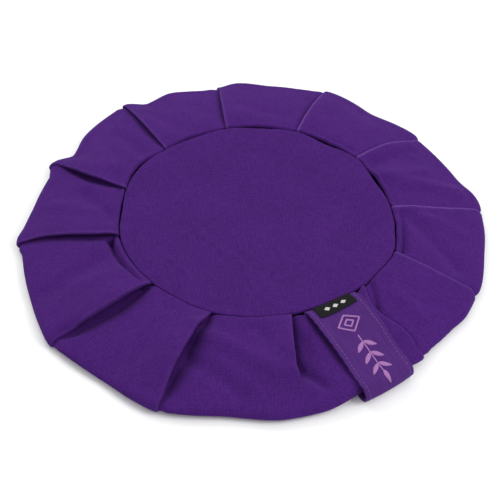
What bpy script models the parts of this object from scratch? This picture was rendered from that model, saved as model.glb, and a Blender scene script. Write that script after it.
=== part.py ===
"""Empty cover of a pleated round floor cushion, lying flat on the floor.

Two round panels are joined by one long pleated band. With no filling in it, the band folds at
half its height and lies around the panels in an upper and a lower leaf, and its knife pleats
fan out from the seam like a pinwheel. A carrying strap runs from the upper seam round the rim
to the lower seam, with a woven label at its upper end.

Metres, +Z up. The origin is the centre of the lower round panel, on the floor.
"""

import math
from collections import namedtuple

import bmesh
import bpy

MM = 0.001

# Driving dimensions
SEAM_RADIUS = 130.0 * MM
CLOTH = 1.2 * MM
STRAP_WIDTH = 50.0 * MM
STRAP_THICKNESS = 2.2 * MM
LABEL_WIDTH = 38.0 * MM
LABEL_LENGTH = 17.0 * MM
LABEL_THICKNESS = 1.0 * MM
GAP = 0.4 * MM
SEAM_GAP = 0.8 * MM

# Side band: heights of the upper leaf (middle of the cloth) at shares of the way from seam to rim
LEAF_HEIGHTS = [(0.0, 17.0 * MM), (0.25, 17.4 * MM), (0.5, 16.8 * MM), (0.75, 15.0 * MM), (1.0, 11.5 * MM)]
NOSE_DEPTH = 9.0 * MM
SEAM_BEND = 4.6 * MM
SEAM_TUCK = 1.6 * MM
RING_WIDTH = 85.0 * MM

# Distances from one layer of a pleat to the next, middle to middle
PITCH_SEAM = 1.7 * MM
PITCH_MIDDLE = 2.5 * MM
PITCH_RIM = 2.0 * MM
PITCH_LOWER = 1.7 * MM

# How deep the pleats are at the seam, how far beyond a fold edge the next panel starts to rise
# and unnest, and how a fold edge is lifted: how far back, how much of it the middle layer shares
# (the lowest layer has none), and how it is spread between seam and rim
PLEAT_DEPTH = 27.0 * MM
RISE_START = 0.5 * MM
UNNEST_LENGTH = 14.0 * MM
LIFT_REACH = 45.0 * MM
MIDDLE_LIFT = 0.45
LIFT_PEAK_POWER = 1.15
RIM_LIFT = 0.12

# One row for each pleat, anticlockwise from the right. Each panel of cloth ends at its pleat's
# fold edge, which lies on top of the next panel. The angles are those of the fold edge, and the
# four radii give the rim of the panel from just after the last pleat to the fold edge.
Pleat = namedtuple("Pleat", "seam_deg rim_deg foot_mm middle_mm shoulder_mm corner_mm rim_depth_mm lift_mm")
PLEATS = [
    Pleat(8.3, 5.0, 218.5, 215.5, 218.0, 219.5, 5.0, 1.0),
    Pleat(42.8, 37.4, 222.0, 213.5, 212.5, 214.0, 5.0, 1.0),
    Pleat(72.9, 70.3, 218.5, 211.5, 219.5, 223.0, 5.0, 1.2),
    Pleat(104.3, 102.8, 220.0, 217.5, 222.5, 216.0, 5.0, 2.5),
    Pleat(135.2, 130.8, 217.0, 224.0, 216.0, 226.5, 14.0, 3.5),
    Pleat(164.8, 162.0, 225.0, 220.0, 209.5, 220.5, 14.0, 3.5),
    Pleat(193.8, 191.5, 216.0, 215.0, 221.5, 224.0, 8.0, 3.0),
    Pleat(224.5, 222.2, 220.5, 222.5, 228.5, 232.0, 8.0, 6.0),
    Pleat(253.0, 251.0, 228.5, 226.5, 230.0, 232.0, 5.0, 7.0),
    Pleat(285.0, 282.0, 229.0, 224.5, 225.5, 224.0, 5.0, 4.5),
    Pleat(318.3, 312.0, 222.5, 214.0, 211.0, 214.5, 5.0, 2.0),
    Pleat(340.9, 335.7, 211.0, 212.0, 215.5, 216.0, 5.0, 1.2),
]
FOOT_AFTER_DEG = 4.0
SHOULDER_BEFORE_DEG = 6.0
CORNER_BEFORE_DEG = 0.6

# Carrying strap: its direction from the centre, the pleat whose panel it lies on (counted from 0),
# its rounded turn at the rim, and where it begins to lean towards that turn
STRAP_DEG = 300.8
STRAP_PLEAT = 10
STRAP_NOSE_RADIUS = 222.5 * MM
STRAP_NOSE_SKEW = 2.0 * MM
STRAP_NOSE_HEIGHT = 16.5 * MM
STRAP_LEAN_START = 0.6
STRAP_CLEAR = 0.6 * MM
LABEL_SHIFT = 1.0 * MM

# Room that the band leaves for the strap: a pocket in the upper seam, and a rise over the floor
POCKET_MARGIN = 3.5 * MM
POCKET_FADE = 9.0 * MM
FLOOR_MARGIN = 4.0 * MM
FLOOR_FADE = 40.0 * MM
RIM_RAISE = 1.8 * MM

# Upper round panel: it sags towards its middle, and its edge turns down into the seam
PANEL_EDGE_HEIGHT = 15.2 * MM
PANEL_SAG = 4.0 * MM
PANEL_SAG_SHARES = [0.0, 0.25, 0.5, 0.75, 0.92, 1.0]
PANEL_BEND = 2.2 * MM
PANEL_BEND_ANGLES = [35.0, 70.0, 90.0]
PANEL_TUCK = 3.2 * MM
PANEL_STEPS = 72

# Mesh of the band: shares of the way from seam to rim, angles round its bends, and shares of the
# way along a panel and across a pleat, with more of them beside the strap
LEAF_SHARES = [0.0, 0.18, 0.4, 0.65, 0.86, 1.0]
LOWER_SHARES = [1.0, 0.5, 0.0]
RIM_ANGLES = [45.0, 90.0, 135.0]
BEND_ANGLES = [0.0, 50.0]
RAMP_SHARES = [0.0, 0.2, 0.5, 0.8, 1.0]
STRAP_RAMP_SHARES = [0.0, 0.15, 0.3, 0.45, 0.6, 0.75, 0.88, 1.0]
FOLD_SHARES = [0.0, 1.0]
STRAP_FOLD_SHARES = [0.0, 0.25, 0.5, 0.75, 1.0]
EDGE_ANGLES = [60.0, 120.0]
ROOT_ANGLES = [90.0]

# Meshes of the strap and the label
STRAP_STRIPS = 6
STRAP_BEND_ANGLES = [0.0, 25.0, 50.0, 75.0, 90.0]
STRAP_TOP_SHARES = [0.12, 0.24, 0.36, 0.48, 0.6, 0.7, 0.8, 0.9, 1.0]
STRAP_NOSE_ANGLES = [22.5, 45.0, 67.5, 90.0, 112.5, 135.0, 157.5, 180.0]
STRAP_FLOOR_SHARES = [0.3, 0.6, 1.0]
LABEL_STRIPS = 4
LABEL_BEND_ANGLES = [0.0, 20.0, 40.0, 60.0, 80.0, 90.0]


def smooth(t):
    """0 to 1 with level ends."""
    t = min(max(t, 0.0), 1.0)
    return t * t * (3.0 - 2.0 * t)


def table_value(table, x):
    """Straight-line reading of a short table of (x, value) rows."""
    for (x0, y0), (x1, y1) in zip(table, table[1:]):
        if x <= x1:
            return y0 + (y1 - y0) * (x - x0) / (x1 - x0)
    return table[-1][1]


def pleats_in_turn():
    """Each pleat with the one before it, whose angles are wound back by a turn where needed."""
    pairs = []
    for i, pleat in enumerate(PLEATS):
        last = PLEATS[i - 1]
        if i == 0:
            last = last._replace(seam_deg=last.seam_deg - 360.0, rim_deg=last.rim_deg - 360.0)
        pairs.append((last, pleat))
    return pairs


def outline_knots():
    """Angle (degrees) and radius of the points that shape the rim."""
    knots = []
    for last, pleat in pleats_in_turn():
        knots.append((last.rim_deg + FOOT_AFTER_DEG, pleat.foot_mm * MM))
        knots.append(((last.rim_deg + pleat.rim_deg) / 2.0, pleat.middle_mm * MM))
        knots.append((pleat.rim_deg - SHOULDER_BEFORE_DEG, pleat.shoulder_mm * MM))
        knots.append((pleat.rim_deg - CORNER_BEFORE_DEG, pleat.corner_mm * MM))
    return knots


OUTLINE = outline_knots()


def outline_knot(k):
    """Knot k of the rim, counted on round the ring."""
    degrees, radius = OUTLINE[k % len(OUTLINE)]
    return degrees + 360.0 * (k // len(OUTLINE)), radius


def knot_slope(k):
    """Slope of the rim curve at a knot: level at a high or low point, else between its neighbours'."""
    (x0, y0), (x1, y1), (x2, y2) = outline_knot(k - 1), outline_knot(k), outline_knot(k + 1)
    before, after = (y1 - y0) / (x1 - x0), (y2 - y1) / (x2 - x1)
    return 2.0 * before * after / (before + after) if before * after > 0.0 else 0.0


def outline_radius(angle):
    """Radius of the rim, a smooth curve through the knots that doesn't overshoot them."""
    first = OUTLINE[0][0]
    degrees = first + (math.degrees(angle) - first) % 360.0
    k = max(i for i in range(len(OUTLINE)) if OUTLINE[i][0] <= degrees)
    (x0, y0), (x1, y1) = outline_knot(k), outline_knot(k + 1)
    t = (degrees - x0) / (x1 - x0)
    bow = knot_slope(k) * (1.0 - t) - knot_slope(k + 1) * t
    return y0 + (y1 - y0) * smooth(t) + (x1 - x0) * t * (1.0 - t) * bow


def strap_bump(radius, angle, margin, fade):
    """1 where the strap lies and for the margin beside it, fading to 0 from there."""
    turn = angle - math.radians(STRAP_DEG)
    if math.cos(turn) < 0.0:
        return 0.0
    beside = abs(radius * math.sin(turn)) - STRAP_WIDTH / 2 - margin
    return 1.0 - smooth(beside / fade)


def fold_angle(pleat, share):
    """Angle of the fold edge at a share of the way from seam to rim, in radians."""
    return math.radians(pleat.rim_deg + (pleat.seam_deg - pleat.rim_deg) * (1.0 - share) ** 2)


def pitch(share):
    """Distance between a pleat's layers in the upper leaf."""
    if share < 0.5:
        return PITCH_SEAM + (PITCH_MIDDLE - PITCH_SEAM) * smooth(2.0 * share)
    return PITCH_MIDDLE + (PITCH_RIM - PITCH_MIDDLE) * smooth(2.0 * share - 1.0)


def lift_share(share):
    """How much of a fold edge's lift is reached between seam and rim."""
    return math.sin(math.pi * share ** LIFT_PEAK_POWER) + RIM_LIFT * share


def cloth_lift(pleat, share, angle, layer):
    """Extra height of the cloth near a fold edge. layer is 0 on top, 1 between and 2 below."""
    radius = SEAM_RADIUS + share * RING_WIDTH
    behind = (fold_angle(pleat, share) - angle) * radius / LIFT_REACH
    if behind > 1.0:
        return 0.0
    fade = math.cos(math.pi / 2.0 * max(behind, 0.0)) ** 2
    by_layer = table_value([(0.0, 1.0), (1.0, MIDDLE_LIFT), (2.0, 0.0)], layer)
    return pleat.lift_mm * MM * lift_share(share) * fade * by_layer


def half_turn(degrees):
    """How far down and how far out a bend between two layers is, at an angle from its top."""
    turn = math.radians(degrees)
    return (1.0 - math.cos(turn)) / 2.0, math.sin(turn)


def pleat_span(pleat, share):
    """Angles where a pleat's root bend and edge bend begin, and how far the two bends reach."""
    radius = SEAM_RADIUS + share * RING_WIDTH
    depth = PLEAT_DEPTH + (pleat.rim_depth_mm * MM - PLEAT_DEPTH) * share
    edge_opening = (1.0 - MIDDLE_LIFT) * pleat.lift_mm * MM * lift_share(share)
    root_bend = pitch(share) / 2.0 / radius
    edge_bend = root_bend + edge_opening / 2.0 / radius
    edge = fold_angle(pleat, share)
    return edge - depth / radius + root_bend, edge - edge_bend, root_bend, edge_bend


def beside_strap(pleat):
    """Whether the strap lies on the panel that ends at this pleat."""
    return pleat == PLEATS[STRAP_PLEAT]


def across_pleat(pleat, share):
    """Angles across a pleat's layers, from the root bend to the edge bend."""
    root, edge, root_bend, edge_bend = pleat_span(pleat, share)
    steps = STRAP_FOLD_SHARES if beside_strap(pleat) else FOLD_SHARES
    return [root + (edge - root) * step for step in steps]


def open_panel(last, pleat, share):
    """The part of a panel that shows, from beside the last pleat to this pleat's root."""
    radius = SEAM_RADIUS + share * RING_WIDTH
    start = fold_angle(last, share) + RISE_START / radius
    end = across_pleat(pleat, share)[0]
    points = []
    for step in STRAP_RAMP_SHARES if beside_strap(pleat) else RAMP_SHARES:
        angle = start + (end - start) * step
        nest = 2.0 * (1.0 - smooth((angle - start) * radius / UNNEST_LENGTH))
        points.append((pleat, angle, 2.0 * (1.0 - step), nest))
    return points


def pleat_section(share):
    """The band's back-and-forth path round the ring at one distance from the seam.

    Each point is (pleat, angle, layer, nest): layer 0 is the top of a pleat, 1 its middle and 2
    its lowest layer, and nest is the same for the distances along the radius.
    """
    points = []
    for last, pleat in pleats_in_turn():
        # the panel starts under the last pleat, comes out and rises onto its own pleat
        points += [(last, angle, 2.0, 2.0) for angle in across_pleat(last, share)]
        points += open_panel(last, pleat, share)
        points += [(pleat, angle, 0.0, 0.0) for angle in across_pleat(pleat, share)[1:]]

        # the fold edge, the layer that runs back, and the fold at the root
        root, edge, root_bend, edge_bend = pleat_span(pleat, share)
        for degrees in EDGE_ANGLES:
            layer, reach = half_turn(degrees)
            points.append((pleat, edge + edge_bend * reach, layer, layer))
        points += [(pleat, angle, 1.0, 1.0) for angle in reversed(across_pleat(pleat, share))]
        for degrees in ROOT_ANGLES:
            layer, reach = half_turn(degrees)
            points.append((pleat, root - root_bend * reach, 1.0 + layer, 1.0 + layer))
    return points


def leaf_start(angle):
    """Radius at which the upper leaf comes out of its bend at the seam."""
    depth = STRAP_THICKNESS + LABEL_THICKNESS + 2 * GAP
    pocket = depth * strap_bump(SEAM_RADIUS, angle, POCKET_MARGIN, POCKET_FADE)
    return SEAM_RADIUS + SEAM_GAP + CLOTH / 2 + SEAM_BEND + pocket


def leaf_end(angle):
    """Radius at which the leaf turns into the rounded rim."""
    return outline_radius(angle) - CLOTH / 2 - NOSE_DEPTH


def upper_height(share, angle, layer, pleat):
    """Height of the upper leaf."""
    raised = RIM_RAISE * strap_bump(leaf_end(angle), angle, FLOOR_MARGIN, FLOOR_FADE) * share * share
    lift = cloth_lift(pleat, share, angle, layer)
    return table_value(LEAF_HEIGHTS, share) - layer * pitch(share) + lift + raised


def lower_height(share, angle, layer):
    """Height of the lower leaf, whose outer layer lies on the floor, or on the strap's end."""
    radius = leaf_start(angle) + (leaf_end(angle) - leaf_start(angle)) * share
    strap = (STRAP_THICKNESS + STRAP_CLEAR) * strap_bump(radius, angle, FLOOR_MARGIN, FLOOR_FADE)
    return CLOTH / 2 + strap + layer * PITCH_LOWER


def band_row(share, place):
    """One row of the band, each point of the pleated path placed as (radius, angle, height)."""
    return [place(*point) for point in pleat_section(share)]


def seam_row(degrees, tuck):
    """A row of the bend at the upper seam; tuck is how far it is drawn down into the seam."""
    turn = math.radians(degrees)

    def place(pleat, angle, layer, nest):
        bend = SEAM_BEND - nest * PITCH_SEAM
        height = upper_height(0.0, angle, layer, pleat) - bend * (1.0 - math.sin(turn)) - tuck
        return leaf_start(angle) - bend * math.cos(turn), angle, height

    return band_row(0.0, place)


def upper_row(share):
    """A row of the upper leaf."""
    def place(pleat, angle, layer, nest):
        radius = leaf_start(angle) + (leaf_end(angle) - leaf_start(angle)) * share
        return radius, angle, upper_height(share, angle, layer, pleat)

    return band_row(share, place)


def rim_row(degrees):
    """A row of the rounded rim, where the layers lie one inside the other."""
    turn = math.radians(degrees)

    def place(pleat, angle, layer, nest):
        above = upper_height(1.0, angle, layer, pleat)
        below = lower_height(1.0, angle, layer)
        radius = leaf_end(angle) + (NOSE_DEPTH - nest * PITCH_RIM) * math.sin(turn)
        return radius, angle, (above + below) / 2 + (above - below) / 2 * math.cos(turn)

    return band_row(1.0, place)


def lower_row(share):
    """A row of the lower leaf."""
    inner = SEAM_RADIUS + SEAM_GAP + CLOTH / 2

    def place(pleat, angle, layer, nest):
        return inner + (leaf_end(angle) - inner) * share, angle, lower_height(share, angle, layer)

    return band_row(share, place)


def grid_object(name, rows, closed, thickness, material):
    """An open surface through rows of (radius, angle, height), given its thickness by Solidify."""
    mesh = bpy.data.meshes.new(name)
    shape = bmesh.new()
    grid = [[shape.verts.new((r * math.cos(a), r * math.sin(a), z)) for r, a, z in row] for row in rows]
    count = len(rows[0])
    for upper, lower in zip(grid, grid[1:]):
        for k in range(count if closed else count - 1):
            after = (k + 1) % count
            shape.faces.new((upper[k], lower[k], lower[after], upper[after]))
    shape.to_mesh(mesh)
    shape.free()
    cloth = bpy.data.objects.new(name, mesh)
    cloth.data.materials.append(material)
    cloth.data.shade_smooth()
    thicken(cloth, thickness)
    return cloth


def thicken(cloth, thickness):
    """Gives an open surface its cloth thickness, half on each side."""
    shell = cloth.modifiers.new("cloth_thickness", "SOLIDIFY")
    shell.thickness = thickness
    shell.offset = 0.0
    shell.use_even_offset = False


def cloth_material(name, colour, roughness):
    """A plain Principled cloth."""
    material = bpy.data.materials.new(name)
    material.use_nodes = True
    shader = material.node_tree.nodes["Principled BSDF"]
    shader.inputs["Base Color"].default_value = (*colour, 1.0)
    shader.inputs["Roughness"].default_value = roughness
    shader.inputs["Metallic"].default_value = 0.0
    return material


def make_band(material):
    """The pleated side band, one piece of cloth folded at half its height."""
    rows = [seam_row(0.0, SEAM_TUCK)]
    rows += [seam_row(degrees, 0.0) for degrees in BEND_ANGLES]
    rows += [upper_row(share) for share in LEAF_SHARES]
    rows += [rim_row(degrees) for degrees in RIM_ANGLES]
    rows += [lower_row(share) for share in LOWER_SHARES]
    return grid_object("side_band", rows, True, CLOTH, material)


def make_upper_panel(material):
    """The upper round panel: a turned profile, sagging a little, its edge turned down in the seam."""
    edge = SEAM_RADIUS - CLOTH / 2
    centre = edge - PANEL_BEND
    profile = []
    for share in PANEL_SAG_SHARES:
        sag = PANEL_SAG * (1.0 - share * share) ** 1.5
        profile.append((centre * share, PANEL_EDGE_HEIGHT - sag))
    for turn in PANEL_BEND_ANGLES:
        turn = math.radians(turn)
        height = PANEL_EDGE_HEIGHT - PANEL_BEND * (1.0 - math.cos(turn))
        profile.append((centre + PANEL_BEND * math.sin(turn), height))
    profile.append((edge, PANEL_EDGE_HEIGHT - PANEL_BEND - PANEL_TUCK))

    mesh = bpy.data.meshes.new("upper_panel")
    shape = bmesh.new()
    points = [shape.verts.new((radius, 0.0, height)) for radius, height in profile]
    for a, b in zip(points, points[1:]):
        shape.edges.new((a, b))
    shape.to_mesh(mesh)
    shape.free()
    panel = bpy.data.objects.new("upper_panel", mesh)
    panel.data.materials.append(material)
    turned = panel.modifiers.new("turned", "SCREW")
    turned.axis = "Z"
    turned.angle = math.tau
    turned.steps = PANEL_STEPS
    turned.render_steps = PANEL_STEPS
    turned.use_merge_vertices = True
    turned.merge_threshold = 0.00005
    turned.use_smooth_shade = True
    turned.use_normal_calculate = True
    thicken(panel, CLOTH)
    return panel


def make_lower_panel(material):
    """The lower round panel, flat on the floor."""
    bpy.ops.mesh.primitive_cylinder_add(vertices=PANEL_STEPS, radius=SEAM_RADIUS, depth=CLOTH,
                                        location=(0.0, 0.0, CLOTH / 2))
    panel = bpy.context.object
    panel.name = "lower_panel"
    panel.data.name = "lower_panel"
    panel.data.materials.append(material)
    return panel


def band_height(radius, angle):
    """Height of the band's upper leaf (middle of the cloth) where it shows."""
    share = (radius - leaf_start(angle)) / (leaf_end(angle) - leaf_start(angle))
    share = min(max(share, 0.0), 1.0)
    for last, pleat in pleats_in_turn():
        start = fold_angle(last, share)
        if start < angle <= fold_angle(pleat, share):
            root = pleat_span(pleat, share)[0]
            layer = 2.0 * (1.0 - min((angle - start) / (root - start), 1.0))
            return upper_height(share, angle, layer, pleat)
    return table_value(LEAF_HEIGHTS, share)


def strap_point(side, radius, height):
    """A point beside the strap's centre line, as radius, angle and height."""
    return radius, math.radians(STRAP_DEG) + math.asin(side / radius), height


def strap_seam_bend(side, above, turns):
    """The strap's bend out of the upper seam. above is the distance to the band's outer face."""
    angle = math.radians(STRAP_DEG) + math.asin(side / SEAM_RADIUS)
    centre = leaf_start(angle)
    bend = SEAM_BEND + CLOTH / 2 + above
    top = band_height(centre, angle) + CLOTH / 2 + above
    points = [strap_point(side, centre - bend, top - bend - SEAM_TUCK)]
    for turn in turns:
        turn = math.radians(turn)
        points.append(strap_point(side, centre - bend * math.cos(turn), top - bend + bend * math.sin(turn)))
    return points


def strap_line(side):
    """The strap's route at a distance to the side of its centre line, seam to rim to seam."""
    above = GAP + STRAP_THICKNESS / 2
    route = strap_seam_bend(side, above, STRAP_BEND_ANGLES)
    skew = -STRAP_NOSE_SKEW * side / (STRAP_WIDTH / 2)
    floor = STRAP_THICKNESS / 2
    bend = (STRAP_NOSE_HEIGHT - STRAP_THICKNESS) / 2
    nose = STRAP_NOSE_RADIUS - STRAP_THICKNESS / 2 - bend + skew
    bend_end = route[-1][0]
    for step in STRAP_TOP_SHARES:
        radius = bend_end + (nose - bend_end) * step
        angle = strap_point(side, radius, 0.0)[1]
        level = band_height(radius, angle) + CLOTH / 2 + STRAP_CLEAR + STRAP_THICKNESS / 2
        lean = smooth((step - STRAP_LEAN_START) / (1.0 - STRAP_LEAN_START))
        route.append(strap_point(side, radius, level + (floor + 2 * bend - level) * lean))
    for turn in STRAP_NOSE_ANGLES:
        turn = math.radians(turn)
        height = floor + bend * (1.0 + math.cos(turn))
        route.append(strap_point(side, nose + bend * math.sin(turn), height))
    end = SEAM_RADIUS + SEAM_GAP + GAP
    for step in STRAP_FLOOR_SHARES:
        route.append(strap_point(side, nose + (end - nose) * step, floor))
    return route


def make_strap(material):
    """The carrying strap, from the upper seam round the rim to the lower seam."""
    lines = [strap_line(STRAP_WIDTH * (k / STRAP_STRIPS - 0.5)) for k in range(STRAP_STRIPS + 1)]
    return grid_object("carry_strap", list(zip(*lines)), False, STRAP_THICKNESS, material)


def label_line(side):
    """The label's route out of the seam and over the strap's bend."""
    above = 2 * GAP + STRAP_THICKNESS + LABEL_THICKNESS / 2
    route = strap_seam_bend(side, above, LABEL_BEND_ANGLES)
    bend = SEAM_BEND + CLOTH / 2 + above
    flat = LABEL_LENGTH - bend * math.pi / 2
    radius, angle, height = route[-1]
    route.append(strap_point(side, radius + flat, height))
    return route


def make_label(material):
    """The woven label, sewn into the upper seam over the strap's end."""
    sides = [LABEL_SHIFT + LABEL_WIDTH * (k / LABEL_STRIPS - 0.5) for k in range(LABEL_STRIPS + 1)]
    lines = [label_line(side) for side in sides]
    return grid_object("woven_label", list(zip(*lines)), False, LABEL_THICKNESS, material)


def main():
    for old in list(bpy.data.objects):
        bpy.data.objects.remove(old, do_unlink=True)
    canvas = cloth_material("purple canvas", (0.075, 0.022, 0.17), 0.9)
    strap_twill = cloth_material("purple twill", (0.085, 0.025, 0.19), 0.8)
    label_weave = cloth_material("black label weave", (0.012, 0.012, 0.014), 0.6)
    pieces = [
        make_upper_panel(canvas),
        make_band(canvas),
        make_lower_panel(canvas),
        make_strap(strap_twill),
        make_label(label_weave),
    ]
    collection = bpy.data.collections.new("cushion cover")
    bpy.context.scene.collection.children.link(collection)
    for piece in pieces:
        for home in list(piece.users_collection):
            home.objects.unlink(piece)
        collection.objects.link(piece)


main()
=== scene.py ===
# %% [markdown]
# # The empty cover of a pleated round floor cushion
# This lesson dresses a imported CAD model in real-looking cloth. The object is the sewn cover of a
# round meditation cushion with no filling in it: two round panels, a long pleated band between
# them that lies folded in half, a carrying strap over the rim and a small woven label. The CAD
# solids stay where they are for physics, and each one gets a finer piece of modelled cloth that
# stands for it. Everything is in metres, with +Z up and the strap at the front right.

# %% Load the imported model
import bisect
import math
from collections import namedtuple

import bmesh
import bpy
from mathutils import Matrix, Vector, noise


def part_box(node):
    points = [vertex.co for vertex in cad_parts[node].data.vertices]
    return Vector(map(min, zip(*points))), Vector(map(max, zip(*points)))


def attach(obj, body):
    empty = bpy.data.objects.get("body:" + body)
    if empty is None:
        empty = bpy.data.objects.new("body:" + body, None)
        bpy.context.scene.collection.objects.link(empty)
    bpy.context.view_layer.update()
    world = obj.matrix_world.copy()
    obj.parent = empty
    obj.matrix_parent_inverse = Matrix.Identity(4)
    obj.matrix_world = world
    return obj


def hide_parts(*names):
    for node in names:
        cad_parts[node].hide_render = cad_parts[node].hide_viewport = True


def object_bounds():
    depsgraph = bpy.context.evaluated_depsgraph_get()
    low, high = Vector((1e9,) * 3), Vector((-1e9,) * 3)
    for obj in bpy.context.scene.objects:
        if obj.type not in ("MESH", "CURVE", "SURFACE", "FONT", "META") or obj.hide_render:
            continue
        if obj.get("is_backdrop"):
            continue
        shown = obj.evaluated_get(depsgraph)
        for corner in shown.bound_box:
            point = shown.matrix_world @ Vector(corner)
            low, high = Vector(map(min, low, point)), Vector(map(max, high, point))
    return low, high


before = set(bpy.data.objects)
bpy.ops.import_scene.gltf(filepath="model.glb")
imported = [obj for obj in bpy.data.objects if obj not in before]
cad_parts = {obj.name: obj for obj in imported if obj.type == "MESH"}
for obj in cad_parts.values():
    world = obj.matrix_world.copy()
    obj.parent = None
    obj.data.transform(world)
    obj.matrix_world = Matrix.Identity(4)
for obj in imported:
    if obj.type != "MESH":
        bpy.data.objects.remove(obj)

MM = 0.001
cad_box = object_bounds()
panel_low, panel_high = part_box("upper_panel")
SEAM_RADIUS = (panel_high[0] - panel_low[0]) / 2

# %% [markdown]
# ## The camera
# A product photo of this kind is taken from the front and above with a longish lens. The aim,
# height and distance below were found by lining up the round seam, the rim and the strap's
# corners with the photo. The picture is square, so the lens follows from the focal length in
# picture widths. The camera is turned by a basis of three directions and not by Euler angles,
# because that keeps the small roll of the photo apart from the tilt.

# %% Camera at the photo's viewing angle
PICTURE_WIDTH_PX = 500.0
FOCAL_PX = 974.4
AIM = Vector((-5.3, -30.2, 0.0)) * MM
CAMERA_DISTANCE = 0.915
CAMERA_ELEVATION = math.radians(45.7)
CAMERA_ROLL = math.radians(1.75)

scene = bpy.context.scene
camera_data = bpy.data.cameras.new("photo_camera")
camera_data.sensor_width = 36.0
camera_data.lens = FOCAL_PX / PICTURE_WIDTH_PX * camera_data.sensor_width
camera = bpy.data.objects.new("photo_camera", camera_data)
towards = Vector((0.0, -math.cos(CAMERA_ELEVATION), math.sin(CAMERA_ELEVATION)))
right = Vector((1.0, 0.0, 0.0))
basis = Matrix((right, towards.cross(right), towards)).transposed() @ Matrix.Rotation(CAMERA_ROLL, 3, "Z")
camera.matrix_world = Matrix.Translation(AIM + CAMERA_DISTANCE * towards) @ basis.to_4x4()
scene.collection.objects.link(camera)
scene.camera = camera
print(f"lens {camera_data.lens:.0f} mm on a 36 mm sensor, {CAMERA_DISTANCE:.2f} m away")

# %% [markdown]
# ## The studio
# The photo has a white sweep in a bright white room, which lights the cover from all sides, and
# two soft lights on top of that: one at the front right and one behind to the left. The shadow
# on the floor is short and faint. The white world stands for the room, brighter overhead than
# along its walls, so deep folds turn dark. Area lights give the two soft boxes, and the plain
# colour transform keeps the purple as saturated as the photo has it.

# %% Floor, lights and world
FLOOR_SIZE = 30.0
FLOOR_WHITE = (0.94, 0.94, 0.94)
SOFT_BOXES = [("right_soft_box", (1.0, -0.3, 0.9), 8.0), ("back_soft_box", (-0.75, 0.85, 0.9), 7.5)]
SOFT_BOX_SIZE = 0.8
ROOM_LIGHT_LEVEL, ROOM_LIGHT_OVERHEAD = 0.32, 1.04

scene.view_settings.view_transform = "Standard"
world = bpy.data.worlds.new("white_room")
world.use_nodes = True
walls = world.node_tree.nodes["Background"]
walls.inputs["Color"].default_value = (1.0, 1.0, 1.0, 1.0)
direction = world.node_tree.nodes.new("ShaderNodeTexCoord")
steepness = world.node_tree.nodes.new("ShaderNodeSeparateXYZ")
room_light = world.node_tree.nodes.new("ShaderNodeMapRange")
room_light.inputs["To Min"].default_value = ROOM_LIGHT_LEVEL
room_light.inputs["To Max"].default_value = ROOM_LIGHT_OVERHEAD
world.node_tree.links.new(direction.outputs["Generated"], steepness.inputs["Vector"])
world.node_tree.links.new(steepness.outputs["Z"], room_light.inputs["Value"])
world.node_tree.links.new(room_light.outputs["Result"], walls.inputs["Strength"])
scene.world = world

for name, spot, watts in SOFT_BOXES:
    spot = Vector(spot)
    light = bpy.data.lights.new(name, "AREA")
    light.shape = "DISK"
    light.size = SOFT_BOX_SIZE
    light.energy = watts
    soft_box = bpy.data.objects.new(name, light)
    soft_box.matrix_world = Matrix.Translation(spot) @ spot.to_track_quat("Z", "Y").to_matrix().to_4x4()
    scene.collection.objects.link(soft_box)

bpy.ops.mesh.primitive_plane_add(size=FLOOR_SIZE)
floor = bpy.context.object
floor.name = "floor"
paper = bpy.data.materials.new("white paper")
paper.use_nodes = True
paper.node_tree.nodes["Principled BSDF"].inputs["Base Color"].default_value = (*FLOOR_WHITE, 1.0)
paper.node_tree.nodes["Principled BSDF"].inputs["Roughness"].default_value = 0.9
floor.data.materials.append(paper)
floor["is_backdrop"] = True
print(f"floor, {len(SOFT_BOXES)} soft boxes and a white room are in place")

# %% [markdown]
# ## Cotton canvas
# Canvas is a plain weave: each thread goes over one and under the next, so from close by the
# cloth is a grid of tiny pillows, and from a step away it is matt with faint streaks where a
# thread was spun thicker. A picture of cloth would be one way. Here the weave is worked out by
# nodes from a map called "threads", which gives every spot of a piece its place on the flat
# cloth in metres, so the threads keep their real size and follow each fold. The band's cloth
# is painted a touch lighter than the panels', as painted light for the extra light that falls
# on the pleated band.

# %% Small helpers for node work
THREADS = "threads"
# Name of the attribute that holds the strength of the painted highlight on the fold edges.
FOLD_HIGHLIGHT = "wear"
SHINE = 0.06


def calc(tree, operation, *values):
    """One step of arithmetic on numbers or node outputs."""
    step = tree.nodes.new("ShaderNodeMath")
    step.operation = operation
    for socket, value in zip(step.inputs, values):
        if isinstance(value, bpy.types.NodeSocket):
            tree.links.new(value, socket)
        else:
            socket.default_value = value
    return step.outputs["Value"]


def cloth_place(tree):
    """Where a spot lies on the flat cloth, in metres along and across."""
    threads = tree.nodes.new("ShaderNodeUVMap")
    threads.uv_map = THREADS
    parts = tree.nodes.new("ShaderNodeSeparateXYZ")
    tree.links.new(threads.outputs["UV"], parts.inputs["Vector"])
    return parts.outputs["X"], parts.outputs["Y"]


def streaks(tree, along, across, length, width, detail=2.0):
    """Soft noise drawn out along one direction of the cloth, 0 to 1."""
    joined = tree.nodes.new("ShaderNodeCombineXYZ")
    tree.links.new(calc(tree, "DIVIDE", along, length), joined.inputs["X"])
    tree.links.new(calc(tree, "DIVIDE", across, width), joined.inputs["Y"])
    cloud = tree.nodes.new("ShaderNodeTexNoise")
    cloud.inputs["Scale"].default_value = 1.0
    cloud.inputs["Detail"].default_value = detail
    tree.links.new(joined.outputs["Vector"], cloud.inputs["Vector"])
    return cloud.outputs["Fac"]


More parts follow.
